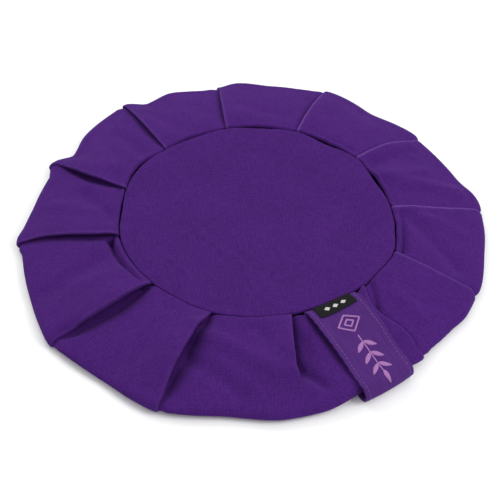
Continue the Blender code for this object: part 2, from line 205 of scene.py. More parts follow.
def shade_between(tree, amount, dark, light):
    """A colour between two, by an amount from 0 to 1."""
    blend = tree.nodes.new("ShaderNodeMix")
    blend.data_type = "RGBA"
    tree.links.new(amount, blend.inputs["Factor"])
    for socket, colour in (("A", dark), ("B", light)):
        plug = [s for s in blend.inputs if s.name == socket and s.type == "RGBA"][0]
        if isinstance(colour, bpy.types.NodeSocket):
            tree.links.new(colour, plug)
        else:
            plug.default_value = (*colour, 1.0)
    return [s for s in blend.outputs if s.type == "RGBA"][0]


def cloth_shader(name, roughness, sheen, sheen_tint):
    """A new cloth material, with the numbers that are the same all over on the shader itself."""
    material = bpy.data.materials.new(name)
    material.use_nodes = True
    shader = material.node_tree.nodes["Principled BSDF"]
    shader.inputs["Roughness"].default_value = roughness
    shader.inputs["Specular IOR Level"].default_value = SHINE
    shader.inputs["Sheen Weight"].default_value = sheen
    shader.inputs["Sheen Roughness"].default_value = 0.45
    shader.inputs["Sheen Tint"].default_value = (*sheen_tint, 1.0)
    return material, material.node_tree, shader


def raise_by(tree, shader, height, depth):
    """Bump from a height of 0 to 1 that stands for a real depth in metres."""
    bump = tree.nodes.new("ShaderNodeBump")
    bump.inputs["Strength"].default_value = 1.0
    bump.inputs["Distance"].default_value = depth
    tree.links.new(height, bump.inputs["Height"])
    tree.links.new(bump.outputs["Normal"], shader.inputs["Normal"])


print(f"cloth is matt here, with a specular level of {SHINE}")

# %% [markdown]
# The canvas colour lies between a dark and a light purple. Slubs, the fuzz of single fibres, slow
# patches and the crowns of the threads each push it a little to one side. On top of that a painted
# highlight makes the cloth paler along the fold edges, most of all at those on the right, where
# the light catches them; an attribute gives its strength at each point.

# %% Purple canvas
CANVAS_THREAD = 0.62 * MM
CANVAS_DARK = (0.032, 0.0058, 0.085)
CANVAS_LIGHT = (0.069, 0.0157, 0.173)
# Colour of the painted highlight on the fold edges.
CANVAS_HIGHLIGHT = (0.160, 0.072, 0.300)
# The band's canvas is painted lighter than the panels', as painted light for the extra light its pleats
# catch.
BAND_PAINTED_LIGHT = 0.13
SLUB_LENGTH, SLUB_WIDTH, SLUB_TONE = 9 * MM, 1.2 * MM, 1.0
FUZZ_LENGTH, FUZZ_WIDTH, FUZZ_TONE = 1.5 * MM, 1.1 * MM, 1.4
PATCH_SIZE, PATCH_TONE = 45 * MM, 0.45
PILLOW_ROUNDING, PILLOW_TONE, PILLOW_HEIGHT = 0.6, 0.25, 0.12 * MM
SLUB_HEIGHT = 0.3
# How much of the painted highlight follows the slubs, and how much lies evenly.
HIGHLIGHT_ON_SLUBS, HIGHLIGHT_EVEN = 0.7, 0.1
BASE_TONE = -1.50


def purple_canvas(name, lighter):
    """Plain weave with slubs and faint patches, lifted by lighter as painted light, and a painted highlight
    on the fold edges.
    """
    material, tree, shader = cloth_shader(name, 0.9, 0.12, (0.55, 0.28, 0.95))
    along, across = cloth_place(tree)
    warp = calc(tree, "SINE", calc(tree, "MULTIPLY", along, math.pi / CANVAS_THREAD))
    weft = calc(tree, "SINE", calc(tree, "MULTIPLY", across, math.pi / CANVAS_THREAD))
    pillow = calc(tree, "POWER", calc(tree, "ABSOLUTE", calc(tree, "MULTIPLY", warp, weft)), PILLOW_ROUNDING)
    slubs = calc(tree, "ADD", streaks(tree, along, across, SLUB_LENGTH, SLUB_WIDTH),
                 streaks(tree, across, along, SLUB_LENGTH, SLUB_WIDTH))
    fuzz = streaks(tree, along, across, FUZZ_LENGTH, FUZZ_WIDTH, 1.0)
    patches = streaks(tree, along, across, PATCH_SIZE, PATCH_SIZE)
    tone = calc(tree, "MULTIPLY_ADD", slubs, SLUB_TONE, lighter + BASE_TONE)
    tone = calc(tree, "MULTIPLY_ADD", fuzz, FUZZ_TONE, tone)
    tone = calc(tree, "MULTIPLY_ADD", patches, PATCH_TONE, tone)
    tone = calc(tree, "MULTIPLY_ADD", pillow, PILLOW_TONE, tone)
    colour = shade_between(tree, tone, CANVAS_DARK, CANVAS_LIGHT)
    # Painted highlight along the fold edges, stronger on the slubs.
    highlight_attribute = tree.nodes.new("ShaderNodeAttribute")
    highlight_attribute.attribute_name = FOLD_HIGHLIGHT
    highlight_strength = calc(tree, "MULTIPLY_ADD", slubs, HIGHLIGHT_ON_SLUBS, HIGHLIGHT_EVEN)
    highlighted = calc(tree, "MULTIPLY", highlight_attribute.outputs["Fac"], highlight_strength)
    tree.links.new(shade_between(tree, highlighted, colour, CANVAS_HIGHLIGHT), shader.inputs["Base Color"])
    height = calc(tree, "MULTIPLY_ADD", slubs, SLUB_HEIGHT, pillow)
    raise_by(tree, shader, height, PILLOW_HEIGHT)
    return material


panel_canvas = purple_canvas("panel canvas", 0.0)
# The band's copy of the canvas is painted lighter, as painted light.
painted_lighter_band_canvas = purple_canvas("band canvas", BAND_PAINTED_LIGHT)
print(f"canvas with {1.0 / (CANVAS_THREAD / MM) * 10:.0f} threads to the centimetre")

# %% [markdown]
# ## How the band is sewn, folded and laid
# The band is one strip of canvas, about 19.5 cm high and 147 cm long. Its two long edges are
# laid in 12 knife pleats and sewn to the round panels. With no filling it folds at half its
# height, and the pleats, which are sewn only at the seams, open out towards the rim like the
# blades of a pinwheel. A cloth simulation could drop such a band, but it wouldn't land in the
# folds of the photo. So the band is drawn as its maker would describe it: for each pleat the
# angle of its fold edge on the way from seam to rim, how far it turns aside on its way round
# the rim, how far the rim reaches, how the seam runs and gapes, how deep the pleat still is at
# the rim, how high its fold edge is lifted, how wide and deep the dark gap beside it is and how
# strong the painted highlight on its fold edge is. A depth below zero at the rim means that the
# pleat has opened out flat before it gets there.

# %% The pleats, one row each, anticlockwise from the right
Pleat = namedtuple("Pleat", "fold_deg turn_deg rim_mm seam_mm opening_mm rim_depth_mm lift_mm lift_power "
                   "gap_mm dip_mm wear")
# The last number in each row is the strength of the painted highlight on its fold edge, highest at the folds
# on the right, where the light catches them.
PLEATS = [
    Pleat((7.0, 5.7, 5.4, 6.2), -1.2, (217.5, 215.9, 218.0, 218.9), (131.5, 129.7), (1.5, 0.9),
          5.0, 2.4, 1.0, 2.5, 2.0, 0.85),
    Pleat((41.4, 40.2, 39.0, 37.8), -1.3, (221.4, 212.5, 211.3, 211.8), (128.9, 132.0), (3.6, 0.5),
          5.0, 2.4, 1.0, 2.5, 2.5, 0.8),
    Pleat((72.7, 72.1, 71.6, 71.0), -0.9, (216.7, 211.5, 220.3, 223.0), (129.9, 132.8), (3.8, 0.6),
          5.0, 2.6, 1.0, 2.5, 2.5, 0.7),
    Pleat((104.7, 103.9, 103.1, 102.3), 0.4, (220.0, 217.5, 222.5, 216.0), (131.8, 132.7), (4.0, 0.4),
          5.0, 2.0, 0.7, 1.5, 2.5, 0.3),
    Pleat((135.4, 133.6, 131.9, 130.5), 0.0, (215.0, 222.0, 215.8, 227.6), (131.0, 131.2), (1.7, 0.5),
          12.0, 2.6, 0.8, 3.0, 3.0, 0.2),
    Pleat((165.9, 165.0, 163.2, 160.5), 1.0, (225.0, 218.6, 208.4, 222.0), (134.8, 130.9), (3.0, 0.6),
          3.0, 3.4, 1.1, 8.0, 4.5, 0.2),
    Pleat((194.3, 192.7, 190.6, 190.1), 0.0, (214.3, 215.0, 219.8, 225.7), (128.5, 130.3), (1.8, 0.8),
          8.0, 3.0, 0.5, 9.0, 4.5, 0.2),
    Pleat((224.9, 224.6, 223.8, 221.9), 0.3, (220.7, 223.0, 228.5, 232.0), (130.2, 128.7), (0.6, 0.5),
          4.0, 6.5, 0.75, 17.0, 10.5, 0.1),
    Pleat((253.1, 251.2, 250.7, 250.9), 0.0, (228.8, 226.5, 230.1, 232.3), (127.9, 128.7), (0.2, 0.4),
          5.0, 7.0, 0.9, 18.0, 10.5, 0.1),
    Pleat((284.3, 282.2, 281.4, 281.9), 0.0, (229.0, 222.5, 224.7, 223.2), (127.5, 126.1), (0.1, 0.3),
          -4.0, 5.0, 0.8, 17.0, 11.0, 0.1),
    Pleat((317.2, 311.3, 312.5, 312.2), 0.0, (222.2, 214.0, 212.3, 214.5), (125.8, 129.2), (0.4, 0.6),
          5.0, 5.5, 0.6, 6.0, 8.0, 0.1),
    Pleat((340.5, 338.3, 337.2, 337.4), -1.7, (211.2, 212.6, 216.2, 216.2), (131.2, 134.0), (0.6, 0.7),
          5.0, 2.6, 1.0, 3.0, 3.0, 0.4),
]
FOOT_AFTER_DEG = 4.0
SHOULDER_BEFORE_DEG = 6.0
CORNER_BEFORE_DEG = 0.6


def wound_back(pleat):
    """The same pleat with its angles a full turn lower."""
    return pleat._replace(fold_deg=tuple(degrees - 360.0 for degrees in pleat.fold_deg))


def pleats_in_turn():
    """Each pleat with the one before it, which for the first is the last one, wound back."""
    return list(zip([wound_back(PLEATS[-1])] + PLEATS[:-1], PLEATS))


print(f"{len(PLEATS)} pleats, one every {360 / len(PLEATS):.0f} degrees")

# %% [markdown]
# ## Smooth curves round a ring
# The rim, the seam and its opening are each known at a few angles only. A spline that may
# overshoot would bulge between them, so the curve here is level at each high and low point.

# %% A closed curve through a few knots


def smooth(t):
    """0 to 1 with level ends."""
    t = min(max(t, 0.0), 1.0)
    return t * t * (3.0 - 2.0 * t)


def ring_curve(knots):
    """A function of the angle (radians) through knots of (degrees, value)."""
    knots = sorted(knots)
    starts = [degrees for degrees, value in knots]

    def knot(k):
        degrees, value = knots[k % len(knots)]
        return degrees + 360.0 * (k // len(knots)), value

    def slope(k):
        (x0, y0), (x1, y1), (x2, y2) = knot(k - 1), knot(k), knot(k + 1)
        before, after = (y1 - y0) / (x1 - x0), (y2 - y1) / (x2 - x1)
        return 2.0 * before * after / (before + after) if before * after > 0.0 else 0.0

    slopes = [slope(k) for k in range(len(knots))]

    def value_at(angle):
        degrees = starts[0] + (math.degrees(angle) - starts[0]) % 360.0
        k = bisect.bisect_right(starts, degrees) - 1
        (x0, y0), (x1, y1) = knot(k), knot(k + 1)
        t = (degrees - x0) / (x1 - x0)
        bow = slopes[k] * (1.0 - t) - slopes[(k + 1) % len(knots)] * t
        return y0 + (y1 - y0) * smooth(t) + (x1 - x0) * t * (1.0 - t) * bow

    return value_at


def rim_knots():
    """The rim at four places of each panel."""
    knots = []
    for last, pleat in pleats_in_turn():
        start, end = last.fold_deg[-1], pleat.fold_deg[-1]
        places = (start + FOOT_AFTER_DEG, (start + end) / 2,
                  end - SHOULDER_BEFORE_DEG, end - CORNER_BEFORE_DEG)
        knots += [(place, radius * MM) for place, radius in zip(places, pleat.rim_mm)]
    return knots


def seam_knots(field):
    """A seam value at the middle of each panel and at each fold edge."""
    knots = []
    for last, pleat in pleats_in_turn():
        middle, fold = getattr(pleat, field)
        knots += [((last.fold_deg[0] + pleat.fold_deg[0]) / 2, middle * MM), (pleat.fold_deg[0], fold * MM)]
    return knots


rim_radius = ring_curve(rim_knots())
rim_turn = ring_curve([(pleat.fold_deg[-1] % 360.0, math.radians(pleat.turn_deg)) for pleat in PLEATS])
seam_line = ring_curve(seam_knots("seam_mm"))
seam_opening = ring_curve(seam_knots("opening_mm"))
SEAM_WOBBLE = 0.5 * MM
SEAM_WOBBLE_LENGTH = 13 * MM


def seam_radius(angle):
    """The round seam, which wanders a little, as sewing does."""
    spot = Vector((math.cos(angle), math.sin(angle), 0.0)) * SEAM_RADIUS / SEAM_WOBBLE_LENGTH
    return seam_line(angle) + SEAM_WOBBLE * noise.noise(spot)


print(f"the rim is {rim_radius(0.0) / MM:.0f} mm from the centre at the right")

# %% [markdown]
# ## A pleat in section
# Walk round the ring at one distance from the seam and the cloth goes back and forth: it comes
# out from under the last pleat, rises over its own pleat, turns back at the fold edge, runs
# under itself and turns again at the root. Each point of that walk is a pleat, an angle, a
# layer (0 on top, 1 between, 2 below) and a nesting, which says how far inside the outer layer
# it lies where the cloth bends. Layers that share their angles and stand a fixed distance apart
# can't pass through each other, however the surface is bent afterwards. Where a pleat opens
# out, the same points spread into one flat layer, so the grid of the cloth never changes.

# %% Fold edges and layers
CLOTH = 0.8 * MM
RING_WIDTH = 85.0 * MM
PITCH_SEAM = 0.85 * MM
PITCH_MIDDLE = 1.4 * MM
PITCH_RIM = 1.3 * MM
PLEAT_DEPTH = 27.0 * MM
OPEN_BEYOND, OPEN_SPAN = 5.0 * MM, 14.0 * MM


def fold_angle(pleat, share):
    """Angle of the fold edge: a cubic through its four angles, seam to rim."""
    t = 3.0 * share
    total = 0.0
    for i, degrees in enumerate(pleat.fold_deg):
        weight = math.prod((t - j) / (i - j) for j in range(4) if j != i)
        total += degrees * weight
    return math.radians(total)


def pitch(share):
    """Distance between a pleat's layers in the upper leaf."""
    if share < 0.5:
        return PITCH_SEAM + (PITCH_MIDDLE - PITCH_SEAM) * smooth(2.0 * share)
    return PITCH_MIDDLE + (PITCH_RIM - PITCH_MIDDLE) * smooth(2.0 * share - 1.0)


def pleat_depth(pleat, share):
    """How deep the pleat is; below zero once it has opened out."""
    return PLEAT_DEPTH + (pleat.rim_depth_mm * MM - PLEAT_DEPTH) * share


def folded(pleat, share):
    """1 where the pleat is folded, falling to 0 where it has opened out flat."""
    return smooth((pleat_depth(pleat, share) + OPEN_BEYOND) / OPEN_SPAN)


print(f"layers {PITCH_SEAM / MM:.2f} mm apart at the seam, {PITCH_RIM / MM:.1f} mm at the rim")

# %% [markdown]
# A pleat that nobody has pressed stands up a little. Its fold edge is lifted along the middle,
# the cloth behind it rises with it, and the cloth below sinks in, so a pocket opens under the
# fold. Light hardly gets in there, and that is what draws the dark lines of the photo.

# %% Lifted fold edges and the gaps under them
OPEN_AHEAD = 8.0 * MM
LIFT_REACH = 42.0 * MM
MIDDLE_LIFT = 0.88
RIM_LIFT = 0.12
GAP_BEHIND, GAP_FULL, GAP_SIDE, GAP_FALL = 24.0 * MM, 0.6, 4.0 * MM, 1.8
GAP_AT_SEAM, GAP_SWELL = 0.35, 0.6


def lift_of(pleat, share):
    """How high the fold edge is lifted at a share of the way from seam to rim."""
    rise = math.sin(math.pi * share ** pleat.lift_power) + RIM_LIFT * share
    return pleat.lift_mm * MM * rise * folded(pleat, share)


def cloth_lift(pleat, share, angle, layer):
    """Extra height near a fold edge, all of it on top and none in the lowest layer."""
    radius = SEAM_RADIUS + share * RING_WIDTH
    behind = (fold_angle(pleat, share) - angle) * radius
    if behind > LIFT_REACH:
        return 0.0
    if behind < 0.0:
        fade = 1.0 - smooth(-behind / max(OPEN_AHEAD * (1.0 - folded(pleat, share)), 1e-6))
    else:
        fade = math.cos(math.pi / 2.0 * behind / LIFT_REACH) ** 2
    by_layer = 1.0 - (1.0 - MIDDLE_LIFT) * layer if layer < 1.0 else MIDDLE_LIFT * (2.0 - layer)
    return lift_of(pleat, share) * fade * by_layer


def gap_dip(pleat, share, angle):
    """How far the lowest layer dips under a fold edge and, ever less, beside it."""
    beyond = (angle - fold_angle(pleat, share)) * (SEAM_RADIUS + share * RING_WIDTH)
    swell = math.sin(math.pi * min(share, 1.0) ** pleat.lift_power) ** GAP_SWELL
    opening = GAP_AT_SEAM + (1.0 - GAP_AT_SEAM) * swell
    reach = pleat.gap_mm * MM * opening + GAP_SIDE
    if not -GAP_BEHIND < beyond < reach:
        return 0.0
    side = (1.0 - max(beyond, 0.0) / reach) ** GAP_FALL
    behind = smooth((beyond + GAP_BEHIND) / (GAP_FULL * GAP_BEHIND))
    return pleat.dip_mm * MM * opening * folded(pleat, share) * side * behind


print(f"fold edges are lifted up to {max(pleat.lift_mm for pleat in PLEATS):.0f} mm")

# %% [markdown]
# The steps of a walk lie closer together near the fold edge and the root, where the cloth bends,
# and where a panel comes out from under its neighbour.

# %% The walk round the ring
LEAST_RUN = 3.0 * MM
OPEN_BACK = 4.0 * MM
RISE_START = 0.5 * MM
UNNEST_LENGTH = 7.0 * MM
FOLD_STEPS, FOLD_CROWDING = 8, 1.6
PANEL_STEPS, PANEL_CROWDING = 32, 1.25
EDGE_STEPS = 6
ROOT_STEPS = 3


def fold_columns(pleat, share):
    """The pleat itself: distances from its fold edge, with their layers, in the order of the walk."""
    run = max(pleat_depth(pleat, share), LEAST_RUN)
    root_bend = pitch(share) / 2.0
    edge_bend = root_bend + (1.0 - MIDDLE_LIFT) * lift_of(pleat, share) / 2.0
    root, edge = root_bend - run, -edge_bend
    there = [edge + (root - edge) * (1.0 - step / FOLD_STEPS) ** FOLD_CROWDING
             for step in range(FOLD_STEPS + 1)]
    columns = [(spot, 0.0) for spot in there]
    for step in range(1, EDGE_STEPS):
        turn = math.pi * step / EDGE_STEPS
        columns.append((edge + edge_bend * math.sin(turn), (1.0 - math.cos(turn)) / 2.0))
    columns += [(spot, 1.0) for spot in reversed(there)]
    for step in range(1, ROOT_STEPS):
        turn = math.pi * step / ROOT_STEPS
        columns.append((root - root_bend * math.sin(turn), 1.0 + (1.0 - math.cos(turn)) / 2.0))
    columns += [(spot, 2.0) for spot in there]
    amount = folded(pleat, share)
    opened = [-OPEN_BACK + (OPEN_BACK + OPEN_AHEAD) * k / (len(columns) - 1) for k in range(len(columns))]
    return [(flat + (spot - flat) * amount, layer * amount) for (spot, layer), flat in zip(columns, opened)]


def panel_start(last, share):
    """Angle where a panel comes out from under the pleat before it."""
    ahead = RISE_START + OPEN_AHEAD * (1.0 - folded(last, share))
    return fold_angle(last, share) + ahead / (SEAM_RADIUS + share * RING_WIDTH)


def pleat_section(share):
    """The walk round the ring: a list of (pleat, angle, layer, nest), and where each panel's middle is."""
    radius = SEAM_RADIUS + share * RING_WIDTH
    walk, middles = [], []
    for last, pleat in pleats_in_turn():
        columns = fold_columns(pleat, share)
        edge, start = fold_angle(pleat, share), panel_start(last, share)
        root = edge + columns[0][0] / radius
        below = 2.0 * folded(last, share)
        middles.append(len(walk) + PANEL_STEPS // 2)
        for step in range(PANEL_STEPS):
            out = (step / PANEL_STEPS) ** PANEL_CROWDING
            angle = start + (root - start) * out
            nest = below * (1.0 - smooth((angle - start) * radius / UNNEST_LENGTH))
            walk.append((pleat, angle, below * (1.0 - out), nest))
        walk += [(pleat, edge + spot / radius, layer, layer) for spot, layer in columns]
    return walk, middles


print(f"{len(pleat_section(0.5)[0])} steps in one walk round the ring")

# %% [markdown]
# ## Creases, ripples and puckers
# Cloth that has lain in a packet isn't a pure curve. The photo shows long soft creases across
# the panels, a ridge along the seam where a panel comes out from under its neighbour, a slow
# waviness all over and small puckers where the needle drew the cloth in. They are added as
# one height for each spot of the ring, the same for all layers, so no layer meets another.

# %% Creases
Crease = namedtuple("Crease", "start_deg start_mm end_deg end_mm width_mm rise_mm")
CREASES = [Crease(*row) for row in [
    (22.9, 152, 13.4, 212, 10.0, 3.0), (33.4, 138, 30.6, 188, 7.5, -2.6),
    (360.0, 148, 342.6, 203, 8.0, -3.4), (3.2, 151, 355.3, 205, 7.0, 1.9),
    (251.2, 152, 275.5, 190, 7.5, 3.6), (253.2, 180, 267.3, 212, 7.5, -3.6),
    (270.4, 146, 279.5, 187, 7.0, -1.9), (209.3, 213, 204.8, 156, 9.0, -3.4),
    (211.2, 188, 214.8, 142, 8.0, 1.9), (171.9, 176, 185.2, 142, 8.0, -3.2),
    (177.6, 204, 181.2, 160, 8.0, 2.1), (141.2, 190, 144.6, 145, 8.0, -2.6),
    (152.6, 194, 157.5, 155, 9.0, 2.4), (97.0, 172, 80.0, 157, 9.0, -1.4),
    (236.5, 222, 240.5, 188, 10.0, -2.0), (237.6, 160, 237.4, 200, 9.0, 1.8),
    (323.1, 160, 321.0, 202, 7.0, 2.2), (127.2, 193, 123.3, 150, 9.0, -1.7),
    (223.2, 209, 222.0, 219, 5.0, -3.5), (320.3, 138, 314.0, 160, 3.8, -3.8),
    (34.6, 147, 33.4, 202, 6.0, -2.6), (26.7, 138, 23.2, 197, 6.0, 2.2),
    (16.1, 147, 14.0, 176, 6.0, -1.2), (2.7, 134, 1.9, 175, 4.0, -1.2),
    (282.3, 186, 286.8, 210, 5.0, -4.6), (279.6, 190, 284.0, 214, 5.0, 1.8),
    (286.5, 160, 285.5, 196, 6.0, -2.0),
]]


def crease_line(crease):
    """A crease's start, direction, length, width and rise, in metres."""
    ends = [Vector((math.cos(math.radians(degrees)), math.sin(math.radians(degrees)))) * radius * MM
            for degrees, radius in ((crease.start_deg, crease.start_mm), (crease.end_deg, crease.end_mm))]
    line = ends[1] - ends[0]
    return ends[0], line.normalized(), line.length, crease.width_mm * MM, crease.rise_mm * MM


CREASE_LINES = [crease_line(crease) for crease in CREASES]
print(f"{len(CREASES)} creases")

# %% [markdown]
# Where a panel comes out from under its neighbour, its layers still lie on top of each other at
# the seam and make a ridge there. Beside the ridge the cloth sinks into a valley, which is steep
# on the seam's side, soft on the other, and narrows as it runs on.

# %% Valleys beside the seam
Valley = namedtuple("Valley", "start_deg end_deg depth_mm out_mm width_mm")
VALLEYS = [Valley(*row) for row in [
    (341.0, 366.0, 5.5, 6.3, 5.0), (194.2, 224.0, 12.0, 7.0, 5.0), (166.0, 190.0, 1.6, 6.0, 4.0),
    (8.0, 41.0, 1.6, 5.5, 3.5), (44.0, 71.0, 1.4, 5.5, 3.0),
]]
RIDGE_SIDE_MM = 1.1
VALLEY_NARROW, VALLEY_FADE = 0.35, 0.6


def valley_depth(degrees, out):
    """The hollow beside the ridge along the seam, where a panel starts; out is the distance from the seam."""
    total = 0.0
    for valley in VALLEYS:
        turn = (degrees - valley.start_deg) % 360.0
        span = valley.end_deg - valley.start_deg
        if turn < span:
            open_share = smooth(turn) * (1.0 - turn / span)
            beyond = out / MM - valley.out_mm
            width = valley.width_mm * (VALLEY_NARROW + (1.0 - VALLEY_NARROW) * open_share)
            beyond /= width if beyond > 0.0 else RIDGE_SIDE_MM
            total += valley.depth_mm * MM * open_share ** VALLEY_FADE * math.exp(-beyond * beyond)
    return total


print(f"{len(VALLEYS)} seam valleys")

# %% [markdown]
# All of this adds up to one height for each spot. The slow waves and the puckers come from
# Blender's own noise, which gives the same hills each time.

# %% Relief of the upper leaf
WAVE_HEIGHT, WAVE_LENGTH = 1.1 * MM, 42 * MM
RIPPLE_SHARE, RIPPLE_FINENESS = 0.4, 2.3
PUCKER_HEIGHT, PUCKER_LENGTH, PUCKER_REACH, PUCKER_DRIFT = 0.45 * MM, 8 * MM, 11 * MM, 30 * MM
SEAM_TURN_IN = 5 * MM
CREASE_REACH_SQUARED = 6.0


def relief(share, angle):
    """Extra height of the upper leaf at one spot, the same for all its layers."""
    radius = SEAM_RADIUS + SEAM_TURN_IN + share * RING_WIDTH
    spot = Vector((math.cos(angle), math.sin(angle), 0.0)) * radius
    height = WAVE_HEIGHT * noise.noise(spot / WAVE_LENGTH)
    ripple = noise.noise(spot / WAVE_LENGTH * RIPPLE_FINENESS + Vector((7.0, 3.0, 0.0)))
    height += RIPPLE_SHARE * WAVE_HEIGHT * ripple
    out = share * RING_WIDTH
    round_seam = Vector((math.cos(angle), math.sin(angle), 0.0)) * SEAM_RADIUS / PUCKER_LENGTH
    pucker = noise.noise(round_seam + Vector((0.0, 0.0, out / PUCKER_DRIFT)))
    height += PUCKER_HEIGHT * math.exp(-out / PUCKER_REACH) * pucker
    for start, way, length, width, rise in CREASE_LINES:
        x, y = spot.x - start.x, spot.y - start.y
        along = min(max((x * way.x + y * way.y) / length, 0.0), 1.0) * length
        away = ((x - along * way.x) ** 2 + (y - along * way.y) ** 2) / width ** 2
        if away < CREASE_REACH_SQUARED:
            height += rise * math.exp(-away)
    return height - valley_depth(math.degrees(angle), leaf_radius(share, angle) - seam_radius(angle))


print(f"waves {WAVE_HEIGHT / MM:.1f} mm high, puckers {PUCKER_HEIGHT / MM:.2f} mm")

# %% [markdown]
# ## From the walk to the band's surface
# Each row of the band is one walk, placed somewhere between the seam above, the rim and the
# seam below. Near the strap the leaves leave room: a pocket in the upper seam, where the strap
# and the label are sewn in, and a rise over the strap's end on the floor. The strap's left edge
# has pressed a shallow trough into the band, which the strap itself bridges.

# %% Reaches of the two leaves and room for the strap
NOSE_DEPTH = 9.0 * MM
SEAM_BEND = 2.0 * MM
SEAM_TUCK = 2.2 * MM
STRAP_WIDTH = 50.0 * MM
STRAP_THICKNESS = 2.0 * MM
LABEL_THICKNESS = 0.9 * MM
GAP = 0.4 * MM
STRAP_CLEAR = 0.6 * MM
STITCH_STAND = 0.45 * MM
STRAP_ANGLE = math.radians(300.8)
POCKET_MARGIN, POCKET_FADE = 0.8 * MM, 11.0 * MM


def strap_bump(radius, angle, margin, fade):
    """1 where the strap lies and for the margin beside it, fading to 0 from there."""
    turn = angle - STRAP_ANGLE
    if math.cos(turn) < 0.0:
        return 0.0
    beside = abs(radius * math.sin(turn)) - STRAP_WIDTH / 2 - margin
    return 1.0 - smooth(beside / fade)


def leaf_start(angle):
    """Radius at which the upper leaf comes out of its bend at the seam."""
    depth = STRAP_THICKNESS + LABEL_THICKNESS + 2 * GAP
    pocket = depth * strap_bump(SEAM_RADIUS, angle, POCKET_MARGIN, POCKET_FADE)
    return seam_radius(angle) + seam_opening(angle) / 2 + CLOTH / 2 + SEAM_BEND + pocket


def leaf_end(angle):
    """Radius at which the leaf turns into the rounded rim."""
    return rim_radius(angle) - CLOTH / 2 - NOSE_DEPTH


def leaf_radius(share, angle):
    """Radius at a share of the way from seam to rim."""
    return leaf_start(angle) + (leaf_end(angle) - leaf_start(angle)) * share


print(f"at the right the upper leaf runs from {leaf_start(0.0) / MM:.0f} to {leaf_end(0.0) / MM:.0f} mm")

# %% Heights of the two leaves
LEAF_TOP, LEAF_DROP, LEAF_POWER = 19.0 * MM, 7.5 * MM, 2.3
LEAST_HEIGHT = 4.6 * MM
PITCH_LOWER = 1.4 * MM
FLOOR_MARGIN, FLOOR_FADE = 4.0 * MM, 40.0 * MM
RIM_RAISE = 1.8 * MM
TROUGH_DEPTH, TROUGH_WIDTH, TROUGH_INSIDE = 4.5 * MM, 4.5 * MM, 3.0 * MM
TROUGH_TOWARDS_SEAM, TROUGH_FULLNESS = 0.6, 0.7
# The pleat before each one, also before the wound-back copy of the last one.
LAST_PLEAT = {pleat: last for last, pleat in pleats_in_turn()}
LAST_PLEAT[wound_back(PLEATS[-1])] = wound_back(PLEATS[-2])


def trough(side, share):
    """How far the band is pressed down under the strap's left edge, seam to rim."""
    beside = (side + STRAP_WIDTH / 2 - TROUGH_INSIDE) / TROUGH_WIDTH
    along = math.sin(math.pi * min(max(share, 0.0), 1.0) ** TROUGH_TOWARDS_SEAM) ** TROUGH_FULLNESS
    return TROUGH_DEPTH * math.exp(-beside * beside) * along


def upper_height(share, angle, layer, pleat):
    """Height of the upper leaf."""
    base = LEAF_TOP - LEAF_DROP * share ** LEAF_POWER + relief(share, angle)
    if math.cos(angle - STRAP_ANGLE) > 0.5:
        base -= trough(leaf_radius(share, angle) * math.sin(angle - STRAP_ANGLE), share)
    base += RIM_RAISE * strap_bump(leaf_end(angle), angle, FLOOR_MARGIN, FLOOR_FADE) * share * share
    dips = gap_dip(pleat, share, angle) + gap_dip(LAST_PLEAT[pleat], share, angle)
    dips = min(dips, max(base - 2.0 * pitch(share) - LEAST_HEIGHT, 0.0)) * (layer / 2.0) ** 2
    return base - layer * pitch(share) + cloth_lift(pleat, share, angle, layer) - dips


def lower_height(share, angle, layer):
    """Height of the lower leaf, whose outer layer lies on the floor, or on the strap's end."""
    rise = STRAP_THICKNESS + STITCH_STAND + STRAP_CLEAR
    strap = rise * strap_bump(leaf_radius(share, angle), angle, FLOOR_MARGIN, FLOOR_FADE)
    return CLOTH / 2 + strap + layer * PITCH_LOWER


print(f"half-way at the right the band is {upper_height(0.5, 0.0, 0.0, PLEATS[0]) / MM:.0f} mm high")

# %% [markdown]
# The band is closed at the seam by a few rows that bend down into it, and at the rim by a
# rounded fold, where the layers of a pleat lie one inside the other. The lower leaf ends just
# over the edge of the lower panel, so no light shows through that seam.

# %% The rows of the band
SEAM_TURNS = [0.0, 15.0, 30.0, 45.0, 60.0, 75.0]
UPPER_STEPS, UPPER_CROWDING = 32, 1.3
RIM_TURNS = [18.0 * k for k in range(1, 10)]
LOWER_STEPS = 6
# How far behind a fold edge the painted highlight reaches, and the deepest layer that gets it.
HIGHLIGHT_WIDTH, HIGHLIGHT_LAYER = 3.4 * MM, 0.7
LOWER_LAP, LOWER_LAP_RISE, LOWER_LAP_SHARE = 1.5 * MM, 1.3 * MM, 0.1


def fold_edge_highlight(pleat, share, angle, layer, nest):
    """How strong the painted highlight is: most at a fold edge and the strip of cloth beside it."""
    behind = (fold_angle(pleat, share) - angle) * (SEAM_RADIUS + share * RING_WIDTH)
    if nest != layer or layer > HIGHLIGHT_LAYER or behind > HIGHLIGHT_WIDTH:
        return 0.0
    return pleat.wear * folded(pleat, share) * (1.0 - layer) * (1.0 - smooth(behind / HIGHLIGHT_WIDTH))


def seam_row(degrees, tuck):
    """A row of the bend at the upper seam; tuck is how far it is drawn down into the seam."""
    turn = math.radians(degrees)
    row = []
    for pleat, angle, layer, nest in pleat_section(0.0)[0]:
        bend = SEAM_BEND - nest * PITCH_SEAM
        height = upper_height(0.0, angle, layer, pleat) - bend * (1.0 - math.sin(turn)) - tuck
        row.append((leaf_start(angle) - bend * math.cos(turn), angle, height,
                    fold_edge_highlight(pleat, 0.0, angle, layer, nest)))
    return row


def upper_row(share):
    """A row of the upper leaf."""
    return [(leaf_radius(share, angle), angle, upper_height(share, angle, layer, pleat),
             fold_edge_highlight(pleat, share, angle, layer, nest))
            for pleat, angle, layer, nest in pleat_section(share)[0]]


